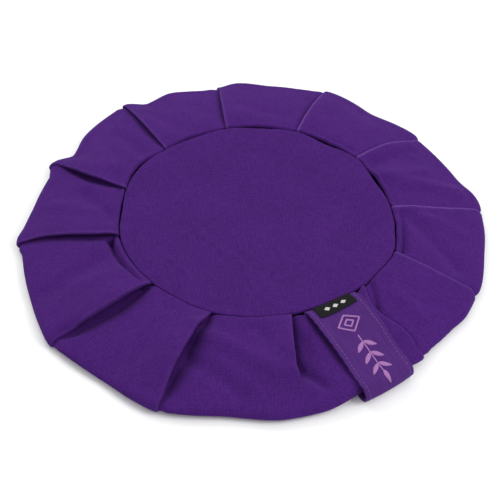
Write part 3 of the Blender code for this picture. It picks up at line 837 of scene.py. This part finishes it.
def rim_row(degrees):
    """A row of the rounded rim, where the layers lie one inside the other."""
    turn = math.radians(degrees)
    row = []
    for pleat, angle, layer, nest in pleat_section(1.0)[0]:
        above, below = upper_height(1.0, angle, layer, pleat), lower_height(1.0, angle, layer)
        radius = leaf_end(angle) + (NOSE_DEPTH - nest * PITCH_RIM) * math.sin(turn)
        turned = angle + rim_turn(angle) * smooth(degrees / 90.0)
        height = (above + below) / 2 + (above - below) / 2 * math.cos(turn)
        row.append((radius, turned, height, fold_edge_highlight(pleat, 1.0, angle, layer, nest)))
    return row


def lower_row(share):
    """A row of the lower leaf."""
    row = []
    for pleat, angle, layer, nest in pleat_section(share)[0]:
        inner = SEAM_RADIUS - LOWER_LAP
        radius = inner + (leaf_end(angle) - inner) * share
        height = lower_height(share, angle, layer) + LOWER_LAP_RISE * (1.0 - smooth(share / LOWER_LAP_SHARE))
        row.append((radius, angle + rim_turn(angle) * share, height, 0.0))
    return row


def band_rows():
    """All rows, from inside the upper seam over the rim to the lower seam."""
    rows = [seam_row(0.0, SEAM_TUCK)] + [seam_row(degrees, 0.0) for degrees in SEAM_TURNS]
    rows += [upper_row((step / UPPER_STEPS) ** UPPER_CROWDING) for step in range(UPPER_STEPS + 1)]
    rows += [rim_row(degrees) for degrees in RIM_TURNS]
    rows += [lower_row(1.0 - step / LOWER_STEPS) for step in range(LOWER_STEPS + 1)]
    return rows


print(f"{1 + len(SEAM_TURNS)} rows in the seam, {UPPER_STEPS + 1} above, {len(RIM_TURNS)} round the rim, "
      f"{LOWER_STEPS + 1} below")

# %% [markdown]
# ## Making cloth from rows
# A sheet is a grid of points, given its thickness by a Solidify modifier. The "threads" map is
# made from the distances along the rows and columns, so it is the flat cloth's own measure. In
# the band it starts afresh at the middle of each panel, and its jumps are in hidden layers.

# %% A cloth grid with its thread map


def place(radius, angle, height):
    """A point given by its radius, angle and height."""
    return Vector((radius * math.cos(angle), radius * math.sin(angle), height))


def thread_runs(points, anchors):
    """Distance along a row of points from the nearest anchor before or after each of them."""
    steps = [(b - a).length for a, b in zip(points, points[1:] + points[:1])]
    run, runs = 0.0, []
    for step in steps:
        runs.append(run)
        run += step
    bounds = [(a + b) // 2 for a, b in zip(anchors, anchors[1:])] + [len(points)]
    shifted, start = [], 0
    for anchor, bound in zip(anchors, bounds):
        shifted += [r - runs[anchor] for r in runs[start:bound]]
        start = bound
    return shifted, steps


def cloth_grid(name, rows, closed, thickness, material, anchors=(0,), wear=None):
    """A cloth surface through rows of points, with its thread map and the strength of a painted highlight at
    each point.
    """
    across = [thread_runs(row, list(anchors)) for row in rows]
    columns = list(zip(*rows))
    along = [[0.0] for column in columns]
    for column, runs in zip(columns, along):
        for a, b in zip(column, column[1:]):
            runs.append(runs[-1] + (b - a).length)
    mesh = bpy.data.meshes.new(name)
    shape = bmesh.new()
    grid = [[shape.verts.new(point) for point in row] for row in rows]
    threads = shape.loops.layers.uv.new(THREADS)
    count = len(rows[0])
    for i, (upper, lower) in enumerate(zip(grid, grid[1:])):
        for k in range(count if closed else count - 1):
            after = (k + 1) % count
            face = shape.faces.new((upper[k], lower[k], lower[after], upper[after]))
            (top, top_steps), (low, low_steps) = across[i], across[i + 1]
            places = [(top[k], along[k][i]), (low[k], along[k][i + 1]),
                      (low[k] + low_steps[k], along[after][i + 1]), (top[k] + top_steps[k], along[after][i])]
            for corner, spot in zip(face.loops, places):
                corner[threads].uv = spot
    shape.to_mesh(mesh)
    shape.free()
    # Each point's painted highlight, kept as an attribute for the canvas shader.
    highlight_attribute = mesh.attributes.new(FOLD_HIGHLIGHT, "FLOAT", "POINT")
    if wear:
        highlight_attribute.data.foreach_set("value", [value for row in wear for value in row])
    piece = bpy.data.objects.new(name, mesh)
    scene.collection.objects.link(piece)
    piece.data.materials.append(material)
    piece.data.shade_smooth()
    shell = piece.modifiers.new("cloth_thickness", "SOLIDIFY")
    shell.thickness = thickness
    shell.offset = 0.0
    shell.use_even_offset = False
    return piece


print(f"cloth {CLOTH / MM:.1f} mm thick")

# %% The pleated side band
rows = band_rows()
panel_middles = pleat_section(0.5)[1]
# The fourth value of each spot is the strength of its painted highlight.
band = cloth_grid("pleated_side_band", [[place(*spot[:3]) for spot in row] for row in rows], True, CLOTH,
                  painted_lighter_band_canvas, panel_middles, [[spot[3] for spot in row] for row in rows])

# %% [markdown]
# ## The round panels
# The upper panel is a disc of the same canvas, drawn down at its edge into the seam and sagging
# a few millimetres in the middle, where nothing holds it up. A turned shape would be too even:
# rings of points let its edge follow the wandering seam, with a few puckers and slow waves.
# The lower panel lies flat on the floor and hardly shows, but it is sewn in the same way.

# %% A disc of canvas
DISC_SPOKES = 288


def disc_ring(radius_at, height_at):
    """One ring of points."""
    ring = []
    for spoke in range(DISC_SPOKES):
        angle = math.tau * spoke / DISC_SPOKES
        radius = radius_at(angle)
        ring.append(place(radius, angle, height_at(radius, angle)))
    return ring


def canvas_disc(name, rings, thickness, material):
    """Rings of points joined to a disc, the first one round a middle point. Its threads run along X and Y."""
    mesh = bpy.data.meshes.new(name)
    shape = bmesh.new()
    threads = shape.loops.layers.uv.new(THREADS)
    middle = shape.verts.new(sum(rings[0], Vector()) / len(rings[0]))
    grid = [[shape.verts.new(point) for point in ring] for ring in rings]
    runs = [ring[0].length for ring in rings]
    flat = {middle: Vector((0.0, 0.0))}
    reach = [0.0] * DISC_SPOKES
    before = [middle] * DISC_SPOKES
    for ring in grid:
        for spoke, point in enumerate(ring):
            reach[spoke] += (point.co - before[spoke].co).length
            angle = math.tau * spoke / DISC_SPOKES
            flat[point] = Vector((math.cos(angle), math.sin(angle))) * reach[spoke]
        before = ring
    for k in range(DISC_SPOKES):
        shape.faces.new((middle, grid[0][k], grid[0][(k + 1) % DISC_SPOKES]))
    for inner, outer in zip(grid, grid[1:]):
        for k in range(DISC_SPOKES):
            after = (k + 1) % DISC_SPOKES
            shape.faces.new((inner[k], outer[k], outer[after], inner[after]))
    for face in shape.faces:
        for corner in face.loops:
            corner[threads].uv = flat[corner.vert]
    shape.to_mesh(mesh)
    shape.free()
    piece = bpy.data.objects.new(name, mesh)
    scene.collection.objects.link(piece)
    piece.data.materials.append(material)
    piece.data.shade_smooth()
    shell = piece.modifiers.new("cloth_thickness", "SOLIDIFY")
    shell.thickness = thickness
    shell.offset = 0.0
    return piece


print(f"{DISC_SPOKES} points to a ring, {math.tau * SEAM_RADIUS / DISC_SPOKES / MM:.1f} mm apart at the seam")

# %% The two round panels
DISC_RINGS, DISC_CROWDING = 30, 0.8
DISC_EDGE_HEIGHT = 17.6 * MM
DISC_SAG, DISC_SAG_POWER = 4.0 * MM, 1.5
DISC_BEND = 1.0 * MM
DISC_BEND_TURNS = [15.0, 30.0, 45.0, 60.0, 75.0, 90.0]
DISC_TUCK = 2.6 * MM
DISC_WAVE = 0.5 * MM


def panel_edge(angle):
    """Radius of the upper panel's turned-down edge, in the middle of its cloth."""
    return seam_radius(angle) - seam_opening(angle) / 2 - CLOTH / 2


def panel_height(radius, angle):
    """Height of the upper panel: its sag, its slow waves and the puckers along its edge."""
    share = min(radius / (panel_edge(angle) - DISC_BEND), 1.0)
    spot = Vector((math.cos(angle), math.sin(angle), 0.0)) * radius
    waves = DISC_WAVE * noise.noise(spot / WAVE_LENGTH + Vector((0.0, 0.0, 5.0)))
    round_edge = Vector((math.cos(angle), math.sin(angle), 0.0)) * SEAM_RADIUS / PUCKER_LENGTH
    inside = panel_edge(angle) - radius
    pucker = noise.noise(round_edge + Vector((0.0, 0.0, 9.0)))
    puckers = PUCKER_HEIGHT * math.exp(-inside / PUCKER_REACH) * pucker
    return DISC_EDGE_HEIGHT - DISC_SAG * (1.0 - share * share) ** DISC_SAG_POWER + waves + puckers


def upper_panel_rings():
    """Rings of the upper panel, out to its turned-down edge."""
    rings = []
    for step in range(1, DISC_RINGS + 1):
        share = (step / DISC_RINGS) ** DISC_CROWDING
        rings.append(disc_ring(lambda a: (panel_edge(a) - DISC_BEND) * share, panel_height))
    for degrees in DISC_BEND_TURNS:
        turn = math.radians(degrees)
        drop = DISC_BEND * (1.0 - math.cos(turn))
        rings.append(disc_ring(lambda a: panel_edge(a) - DISC_BEND * (1.0 - math.sin(turn)),
                               lambda r, a: panel_height(panel_edge(a) - DISC_BEND, a) - drop))
    low = DISC_BEND + DISC_TUCK
    rings.append(disc_ring(panel_edge, lambda r, a: panel_height(panel_edge(a) - DISC_BEND, a) - low))
    return rings


upper_panel = canvas_disc("upper_round_panel", upper_panel_rings(), CLOTH, panel_canvas)
lower_rings = [disc_ring(lambda a: SEAM_RADIUS * step / DISC_RINGS, lambda r, a: CLOTH / 2)
               for step in range(1, DISC_RINGS + 1)]
lower_panel = canvas_disc("lower_round_panel", lower_rings, CLOTH, panel_canvas)
print(f"panels: {DISC_RINGS} rings of {DISC_SPOKES} points")

# %% [markdown]
# ## The carrying strap
# The strap is a doubled strip of fine twill, 5 cm wide, stitched along both long edges. It
# comes out of the upper seam, lies on the band, turns down round the rim and runs back along
# the floor to the lower seam. Its left edge stands a few millimetres off the band, and the
# dark line along it in the photo is that gap. Its route is worked out from the band's own
# height, so it lies on the cloth wherever the cloth is.

# %% Twill, thread and label materials
TWILL_RIB = 1.6 * MM
TWILL_SLANT = math.radians(102.0)
TWILL_DARK = (0.045, 0.0120, 0.112)
TWILL_LIGHT = (0.098, 0.0310, 0.200)
TWILL_BEAD, BEAD_HEIGHT = 0.5 * MM, 0.12
TWILL_CLOUD_LENGTH, TWILL_CLOUD_WIDTH = 22 * MM, 2.0 * MM
RIB_TONE, CLOUD_TONE = 0.9, 0.9
RIB_HEIGHT, TWIST_HEIGHT = 0.2 * MM, 0.04 * MM


def purple_twill():
    """Fine steep ribs, each a little lighter on its crown."""
    material, tree, shader = cloth_shader("purple twill", 0.8, 0.07, (0.62, 0.35, 0.95))
    across, along = cloth_place(tree)
    lean = calc(tree, "MULTIPLY", along, math.cos(TWILL_SLANT))
    slant = calc(tree, "MULTIPLY_ADD", across, math.sin(TWILL_SLANT), lean)
    rib = calc(tree, "SINE", calc(tree, "MULTIPLY", slant, math.tau / TWILL_RIB))
    rib = calc(tree, "MULTIPLY_ADD", rib, 0.5, 0.5)
    beads = calc(tree, "SINE", calc(tree, "MULTIPLY", along, math.tau / TWILL_BEAD))
    height = calc(tree, "MULTIPLY_ADD", beads, BEAD_HEIGHT, rib)
    cloud = streaks(tree, along, across, TWILL_CLOUD_LENGTH, TWILL_CLOUD_WIDTH)
    faint = calc(tree, "MULTIPLY_ADD", cloud, CLOUD_TONE, -CLOUD_TONE / 2)
    tone = calc(tree, "MULTIPLY_ADD", rib, RIB_TONE, faint)
    tree.links.new(shade_between(tree, tone, TWILL_DARK, TWILL_LIGHT), shader.inputs["Base Color"])
    raise_by(tree, shader, height, RIB_HEIGHT)
    return material


def twisted_thread(name, dark, light, ply, roughness):
    """Sewing or embroidery thread, with the twist of its plies."""
    material, tree, shader = cloth_shader(name, roughness, 0.3, (1.0, 0.9, 1.0))
    along, across = cloth_place(tree)
    twist = calc(tree, "SINE", calc(tree, "MULTIPLY_ADD", along, math.tau / ply,
                                    calc(tree, "MULTIPLY", across, math.tau / ply)))
    twist = calc(tree, "MULTIPLY_ADD", twist, 0.5, 0.5)
    tree.links.new(shade_between(tree, twist, dark, light), shader.inputs["Base Color"])
    raise_by(tree, shader, twist, TWIST_HEIGHT)
    return material


LABEL_WEFT, LABEL_WARP, LABEL_RELIEF = 0.28 * MM, 0.4 * MM, 0.05 * MM
LABEL_DARK, LABEL_LIGHT, LABEL_PALE = (0.006, 0.006, 0.007), (0.014, 0.014, 0.016), (0.62, 0.62, 0.6)
LOZENGE_STEP, LOZENGE_RUN = 8.0 * MM, 14.5 * MM
LOZENGES, LOZENGE_REACH, LOZENGE_HEIGHT = 3, 0.36, 0.3
LOZENGE_COVER = 0.7


def black_label_weave():
    """A tight black label weave with three small pale lozenges woven in."""
    material, tree, shader = cloth_shader("black label weave", 0.6, 0.02, (0.8, 0.8, 0.8))
    across, along = cloth_place(tree)
    fine = calc(tree, "SINE", calc(tree, "MULTIPLY", along, math.tau / LABEL_WEFT))
    cross = calc(tree, "SINE", calc(tree, "MULTIPLY", across, math.tau / LABEL_WARP))
    weave = calc(tree, "MULTIPLY_ADD", calc(tree, "MULTIPLY", fine, cross), 0.5, 0.5)
    black = shade_between(tree, weave, LABEL_DARK, LABEL_LIGHT)
    spread = calc(tree, "PINGPONG", calc(tree, "ADD", across, LOZENGE_STEP), LOZENGE_STEP)
    offset = calc(tree, "SUBTRACT", LOZENGE_STEP, spread)
    offset = calc(tree, "MINIMUM", offset, spread)
    offset = calc(tree, "DIVIDE", offset, LOZENGE_STEP * LOZENGE_REACH)
    away = calc(tree, "ABSOLUTE", calc(tree, "SUBTRACT", along, LOZENGE_RUN))
    height = calc(tree, "DIVIDE", away, LOZENGE_STEP * LOZENGE_HEIGHT)
    inside = calc(tree, "LESS_THAN", calc(tree, "ADD", offset, height), 1.0)
    within = calc(tree, "LESS_THAN", calc(tree, "ABSOLUTE", across), LOZENGE_STEP * LOZENGES / 2)
    cover = calc(tree, "MULTIPLY_ADD", weave, 1.0 - LOZENGE_COVER, LOZENGE_COVER)
    mark = calc(tree, "MULTIPLY", calc(tree, "MULTIPLY", inside, within), cover)
    tree.links.new(shade_between(tree, mark, black, LABEL_PALE), shader.inputs["Base Color"])
    raise_by(tree, shader, calc(tree, "ADD", weave, mark), LABEL_RELIEF)
    return material


twill = purple_twill()
edge_thread = twisted_thread("purple sewing thread", (0.13, 0.052, 0.22), (0.22, 0.105, 0.33), 0.9 * MM, 0.6)
mauve_thread = twisted_thread("mauve satin thread", (0.29, 0.12, 0.33), (0.46, 0.22, 0.52), 1.1 * MM, 0.42)
label_weave = black_label_weave()
print(f"twill with a rib every {TWILL_RIB / MM:.2f} mm")

# %% [markdown]
# The strap's route is a list of points for each line along it, from one side to the other.
# Lines lie closer together beside the two rows of stitches, which draw the cloth down.

# %% The band's height under the strap
STRAP_LAST, STRAP_PLEAT = PLEATS[9], PLEATS[10]


def band_height(radius, angle):
    """Height of the band's upper leaf where it shows beside and under the strap."""
    start, end = leaf_start(angle), leaf_end(angle)
    share = min(max((radius - start) / (end - start), 0.0), 1.0)
    begin = panel_start(STRAP_LAST, share)
    root = fold_columns(STRAP_PLEAT, share)[0][0] / (SEAM_RADIUS + share * RING_WIDTH)
    root += fold_angle(STRAP_PLEAT, share)
    if angle < begin:
        return upper_height(share, angle, 0.0, STRAP_LAST)
    layer = 2.0 * folded(STRAP_LAST, share) * (1.0 - min((angle - begin) / (root - begin), 1.0))
    return upper_height(share, angle, layer, STRAP_PLEAT)


print(f"the band under the strap starts {band_height(leaf_start(STRAP_ANGLE), STRAP_ANGLE) / MM:.0f} mm up")

# %% The strap's route
STRAP_NOSE_RADIUS = 222.5 * MM
STRAP_NOSE_SKEW = 2.0 * MM
STRAP_NOSE_HEIGHT = 16.5 * MM
STRAP_LEAN_START = 0.6
HOVER, HOVER_TO_LEFT, HOVER_FULLNESS = 3.0 * MM, 2.6, 0.5
STRAP_SEAM_TURNS = [10.0 * k for k in range(10)]
STRAP_TOP_STEPS = 44
STRAP_NOSE_TURNS = [12.0 * k for k in range(1, 16)]
STRAP_FLOOR_STEPS = 22


def beside(side, radius, height):
    """A spot at a distance to the side of the strap's centre line."""
    return radius, STRAP_ANGLE + math.asin(side / radius), height


def out_of_seam(side, above, turns):
    """A strip's bend out of the upper seam. above is the distance to the band's outer face."""
    angle = STRAP_ANGLE + math.asin(side / SEAM_RADIUS)
    centre = leaf_start(angle)
    bend = SEAM_BEND + CLOTH / 2 + above
    top = band_height(centre, angle) + CLOTH / 2 + above
    spots = [beside(side, centre - bend, top - bend - SEAM_TUCK)]
    for degrees in turns:
        turn = math.radians(degrees)
        spots.append(beside(side, centre - bend * math.cos(turn), top - bend + bend * math.sin(turn)))
    return spots


def hover(side, step):
    """How far the strap stands off the band: at its left edge, and most of all half-way."""
    left = max(0.5 - side / STRAP_WIDTH, 0.0)
    return HOVER * left ** HOVER_TO_LEFT * math.sin(math.pi * min(step, 1.0)) ** HOVER_FULLNESS


def strap_line(side):
    """The strap's route at a distance to the side of its centre line, seam to rim to seam."""
    above = GAP + STRAP_THICKNESS / 2
    route = out_of_seam(side, above, STRAP_SEAM_TURNS)
    skew = -STRAP_NOSE_SKEW * side / (STRAP_WIDTH / 2)
    level_floor = STRAP_THICKNESS / 2 + STITCH_STAND
    bend = (STRAP_NOSE_HEIGHT - STRAP_THICKNESS) / 2
    nose = STRAP_NOSE_RADIUS - STRAP_THICKNESS / 2 - bend + skew
    bend_end = route[-1][0]
    for k in range(1, STRAP_TOP_STEPS + 1):
        step = k / STRAP_TOP_STEPS
        radius = bend_end + (nose - bend_end) * step
        angle = beside(side, radius, 0.0)[1]
        share = (radius - leaf_start(angle)) / (leaf_end(angle) - leaf_start(angle))
        level = band_height(radius, angle) + trough(side, share) + hover(side, step)
        level += CLOTH / 2 + STRAP_CLEAR + STRAP_THICKNESS / 2
        lean = smooth((step - STRAP_LEAN_START) / (1.0 - STRAP_LEAN_START))
        route.append(beside(side, radius, level + (level_floor + 2 * bend - level) * lean))
    for degrees in STRAP_NOSE_TURNS:
        turn = math.radians(degrees)
        route.append(beside(side, nose + bend * math.sin(turn), level_floor + bend * (1.0 + math.cos(turn))))
    end = SEAM_RADIUS + 3 * GAP
    for k in range(1, STRAP_FLOOR_STEPS + 1):
        route.append(beside(side, nose + (end - nose) * k / STRAP_FLOOR_STEPS, level_floor))
    return [place(*spot) for spot in route]


print(f"each line of the strap has {len(strap_line(0.0))} points")

# %% The strap's cloth
EDGE_LINES_MM = [0.0, 0.6, 1.5, 2.5, 3.2, 3.7, 4.2, 4.9, 6.2, 8.0]
MIDDLE_START, MIDDLE_STEP, MIDDLE_LINES = 10 * MM, 2 * MM, 16
EASING_ROUNDS = 3
STRAP_EDGE_BEND = 0.8 * MM
FOLDED_EDGE_ANGLE = math.radians(55.0)
half = STRAP_WIDTH / 2
sides = [-half + distance * MM for distance in EDGE_LINES_MM]
sides += [-half + MIDDLE_START + MIDDLE_STEP * k for k in range(MIDDLE_LINES)]
sides += [half - distance * MM for distance in reversed(EDGE_LINES_MM)]
strap_grid = list(zip(*[strap_line(side) for side in sides]))


def eased(rows):
    """Rows smoothed once along their length, ends kept, as a stiff strap bridges small bumps."""
    between = [[(a + 2 * b + c) / 4 for a, b, c in zip(before, row, after)]
               for before, row, after in zip(rows, rows[1:], rows[2:])]
    return [rows[0]] + between + [rows[-1]]


def bend_edges(piece, width, segments):
    """Round off a strip's cut edges, as a folded or heat-cut edge is."""
    edges = piece.modifiers.new("soft_edges", "BEVEL")
    edges.width = width
    edges.segments = segments
    edges.limit_method = "ANGLE"
    edges.angle_limit = FOLDED_EDGE_ANGLE


for _ in range(EASING_ROUNDS):
    strap_grid = eased(strap_grid)
strap_grid = [list(row) for row in strap_grid]
strap = cloth_grid("carry_strap_twill", strap_grid, False, STRAP_THICKNESS, twill)
bend_edges(strap, STRAP_EDGE_BEND, 3)
centre_line = [row[len(sides) // 2] for row in strap_grid]
strap_runs = [0.0]
for a, b in zip(centre_line, centre_line[1:]):
    strap_runs.append(strap_runs[-1] + (b - a).length)
STRAP_LENGTH = strap_runs[-1]
print(f"strap {STRAP_LENGTH / MM:.0f} mm long from seam to seam")

# %% [markdown]
# ## Stitches and embroidery
# Real stitches are short lengths of thread that dive into the cloth at both ends. Each one is
# a thin tube with its ends sunk, laid on the strap by its place along and across. The strap is
# also embroidered with a plain lozenge and a leafy sprig in satin stitch, made as close
# parallel threads, as a machine lays them.

# %% Thread tubes on the strap
THREAD_SIDES = 6


def on_strap(side, run, above=0.0):
    """A point on the strap's outer face, by its distance to the side and along from the seam."""
    run = min(max(run, 0.0), STRAP_LENGTH - 1e-6)
    i = min(bisect.bisect_right(strap_runs, run) - 1, len(strap_grid) - 2)
    j = min(max(bisect.bisect_right(sides, side) - 1, 0), len(sides) - 2)
    s = (run - strap_runs[i]) / (strap_runs[i + 1] - strap_runs[i])
    t = (side - sides[j]) / (sides[j + 1] - sides[j])
    a, b = strap_grid[i][j], strap_grid[i][j + 1]
    c, d = strap_grid[i + 1][j], strap_grid[i + 1][j + 1]
    point = a.lerp(b, t).lerp(c.lerp(d, t), s)
    normal = (c.lerp(d, t) - a.lerp(b, t)).cross(b.lerp(d, s) - a.lerp(c, s)).normalized()
    return point + normal * (STRAP_THICKNESS / 2 + above)


def add_thread(shape, threads, points, thickness):
    """A round thread through points, its thread map along and around it."""
    rings, runs, run = [], [], 0.0
    for k, point in enumerate(points):
        ahead = points[min(k + 1, len(points) - 1)] - points[max(k - 1, 0)]
        run += (point - points[k - 1]).length if k else 0.0
        runs.append(run)
        sideways = ahead.orthogonal().normalized()
        upwards = ahead.cross(sideways).normalized()
        ring = []
        for corner in range(THREAD_SIDES):
            turn = math.tau * corner / THREAD_SIDES
            spoke = sideways * math.cos(turn) + upwards * math.sin(turn)
            ring.append(shape.verts.new(point + spoke * thickness / 2))
        rings.append(ring)
    girth = math.pi * thickness
    for k, (first, second) in enumerate(zip(rings, rings[1:])):
        for c in range(THREAD_SIDES):
            n = (c + 1) % THREAD_SIDES
            face = shape.faces.new((first[c], first[n], second[n], second[c]))
            spots = [(runs[k], c), (runs[k], c + 1), (runs[k + 1], c + 1), (runs[k + 1], c)]
            for corner, (along, around) in zip(face.loops, spots):
                corner[threads].uv = (along, girth * around / THREAD_SIDES)
    shape.faces.new(list(reversed(rings[0])))
    shape.faces.new(rings[-1])


def thread_piece(name, lines, thickness, material):
    """One object made of many separate threads."""
    mesh = bpy.data.meshes.new(name)
    shape = bmesh.new()
    threads = shape.loops.layers.uv.new(THREADS)
    for points in lines:
        add_thread(shape, threads, points, thickness)
    shape.to_mesh(mesh)
    shape.free()
    piece = bpy.data.objects.new(name, mesh)
    scene.collection.objects.link(piece)
    piece.data.materials.append(material)
    piece.data.shade_smooth()
    return piece


print(f"a thread is a tube with {THREAD_SIDES} sides")

# %% Edge stitches
STITCH_INSET = 3.7 * MM
STITCH_PITCH = 3.6 * MM
STITCH_LENGTH = 2.5 * MM
STITCH_THREAD = 0.5 * MM
STITCH_SHARES = [0.0, 0.15, 0.5, 0.85, 1.0]
STITCH_HEIGHTS = [-0.3 * MM, 0.05 * MM, 0.14 * MM, 0.05 * MM, -0.3 * MM]
stitch_lines = []
for side in (-half + STITCH_INSET, half - STITCH_INSET):
    for k in range(2, int(STRAP_LENGTH / STITCH_PITCH) - 1):
        start = k * STITCH_PITCH
        stitch_lines.append([on_strap(side, start + STITCH_LENGTH * share, height)
                             for share, height in zip(STITCH_SHARES, STITCH_HEIGHTS)])
stitches = thread_piece("strap_edge_stitches", stitch_lines, STITCH_THREAD, edge_thread)
print(f"{len(stitch_lines)} edge stitches")

# %% Rows of satin stitch
SATIN_THREAD = 0.42 * MM
SATIN_STEP = 0.36 * MM
SATIN_SHARES = [0.0, 0.2, 0.5, 0.8, 1.0]
SATIN_HEIGHTS = [-0.2 * MM, 0.08 * MM, 0.2 * MM, 0.08 * MM, -0.2 * MM]
LINE_SLANT, LEAF_STITCH_SLANT = 0.5, 0.35
LEAF_FULLNESS = 0.8


def satin_thread(start, end):
    """One satin stitch between two spots (side, run) of the strap."""
    return [on_strap(start[0] + (end[0] - start[0]) * share, start[1] + (end[1] - start[1]) * share, height)
            for share, height in zip(SATIN_SHARES, SATIN_HEIGHTS)]


def satin_line(start, end, width):
    """A straight embroidered line, as a close row of slanting stitches across it."""
    (x0, y0), (x1, y1) = start, end
    length = math.hypot(x1 - x0, y1 - y0)
    ux, uy = (x1 - x0) / length, (y1 - y0) / length
    lines = []
    for k in range(int(length / SATIN_STEP) + 1):
        run = k * SATIN_STEP
        x, y = x0 + ux * run, y0 + uy * run
        dx, dy = (-uy + LINE_SLANT * ux) * width / 2, (ux + LINE_SLANT * uy) * width / 2
        lines.append(satin_thread((x - dx, y - dy), (x + dx, y + dy)))
    return lines


def satin_leaf(base, direction, length, width):
    """A leaf filled with stitches across it, widest below its middle."""
    ux, uy = math.cos(direction), math.sin(direction)
    lines = []
    for k in range(1, int(length / SATIN_STEP)):
        t = k * SATIN_STEP / length
        reach = width / 2 * math.sin(math.pi * t ** LEAF_FULLNESS) ** LEAF_FULLNESS
        x, y = base[0] + ux * t * length, base[1] + uy * t * length
        dx, dy = (-uy + LEAF_STITCH_SLANT * ux) * reach, (ux + LEAF_STITCH_SLANT * uy) * reach
        lines.append(satin_thread((x - dx, y - dy), (x + dx, y + dy)))
    return lines


print(f"satin stitches lie {SATIN_STEP / MM:.2f} mm apart")

# %% The embroidered lozenge and sprig
LINE_WIDTH, STEM_WIDTH = 1.5 * MM, 1.2 * MM
LOZENGE_MIDDLE = (0.0, 33.0 * MM)
LOZENGE_SIZES = [(10.5 * MM, 9.0 * MM), (4.4 * MM, 3.8 * MM)]
STEM_START, STEM_END = 47.0 * MM, 98.0 * MM
LEAF_LENGTH, LEAF_WIDTH, LEAF_SIDE = 12.0 * MM, 4.2 * MM, 0.6 * MM
LEAF_SLANT = math.radians(48.0)
LEAF_PAIRS = (7 * MM, 18.5 * MM, 30 * MM)


def lozenge(middle, reach_side, reach_run, width):
    """The four embroidered lines of a lozenge."""
    x, y = middle
    corners = [(x, y - reach_run), (x + reach_side, y), (x, y + reach_run), (x - reach_side, y)]
    lines = []
    for start, end in zip(corners, corners[1:] + corners[:1]):
        lines += satin_line(start, end, width)
    return lines


satin_lines = []
for reach_side, reach_run in LOZENGE_SIZES:
    satin_lines += lozenge(LOZENGE_MIDDLE, reach_side, reach_run, LINE_WIDTH)
satin_lines += satin_line((0.0, STEM_START), (0.0, STEM_END - LEAF_LENGTH), STEM_WIDTH)
for run in LEAF_PAIRS:
    for hand in (1, -1):
        direction = math.pi / 2 - hand * LEAF_SLANT
        satin_lines += satin_leaf((hand * LEAF_SIDE, STEM_START + run), direction, LEAF_LENGTH, LEAF_WIDTH)
satin_lines += satin_leaf((0.0, STEM_END - LEAF_LENGTH - 1 * MM), math.pi / 2, LEAF_LENGTH, LEAF_WIDTH)
embroidery = thread_piece("strap_embroidery", satin_lines, SATIN_THREAD, mauve_thread)
print(f"{len(satin_lines)} satin stitches")

# %% [markdown]
# ## The woven label
# The label is a strip of tight black weave, its end caught in the upper seam over the strap.
# Three small lozenges, a common weaver's mark, are woven into it in pale thread.

# %% The label's cloth
LABEL_WIDTH = 36.5 * MM
LABEL_RUN = 18.5 * MM
LABEL_SHIFT = 0.2 * MM
LABEL_LINES, LABEL_STEPS = 24, 26
LABEL_EDGE_BEND = 0.25 * MM


def label_line(side):
    """The label's route out of the seam and over the strap."""
    above = GAP + LABEL_THICKNESS / 2
    return [on_strap(side, LABEL_RUN * k / LABEL_STEPS, above) for k in range(LABEL_STEPS + 1)]


label_sides = [LABEL_SHIFT + LABEL_WIDTH * (k / LABEL_LINES - 0.5) for k in range(LABEL_LINES + 1)]
label_grid = [list(row) for row in zip(*[label_line(side) for side in label_sides])]
label = cloth_grid("woven_label_cloth", label_grid, False, LABEL_THICKNESS, label_weave, (LABEL_LINES // 2,))
bend_edges(label, LABEL_EDGE_BEND, 2)

# %% [markdown]
# ## Each piece on the part's body
# Every piece rides on the one body of the part, and each stands for a CAD node, whose solid is
# hidden.

# %% Pieces on the body, their CAD solids hidden
for piece, node, finish in ((band, "side_band", "canvas"), (upper_panel, "upper_panel", "canvas"),
                            (lower_panel, "lower_panel", "canvas"), (strap, "carry_strap", "strap_twill"),
                            (label, "woven_label", "label_weave")):
    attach(piece, "root")
    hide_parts(node)
for trim in (stitches, embroidery):
    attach(trim, "root")

# %% The dressed model's box and the CAD box
bpy.context.view_layer.update()
boxes = {"cad": cad_box, "visual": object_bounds()}
boxes = {name: [[float(value) for value in corner] for corner in box] for name, box in boxes.items()}
print(f"boxes in metres: {boxes}")
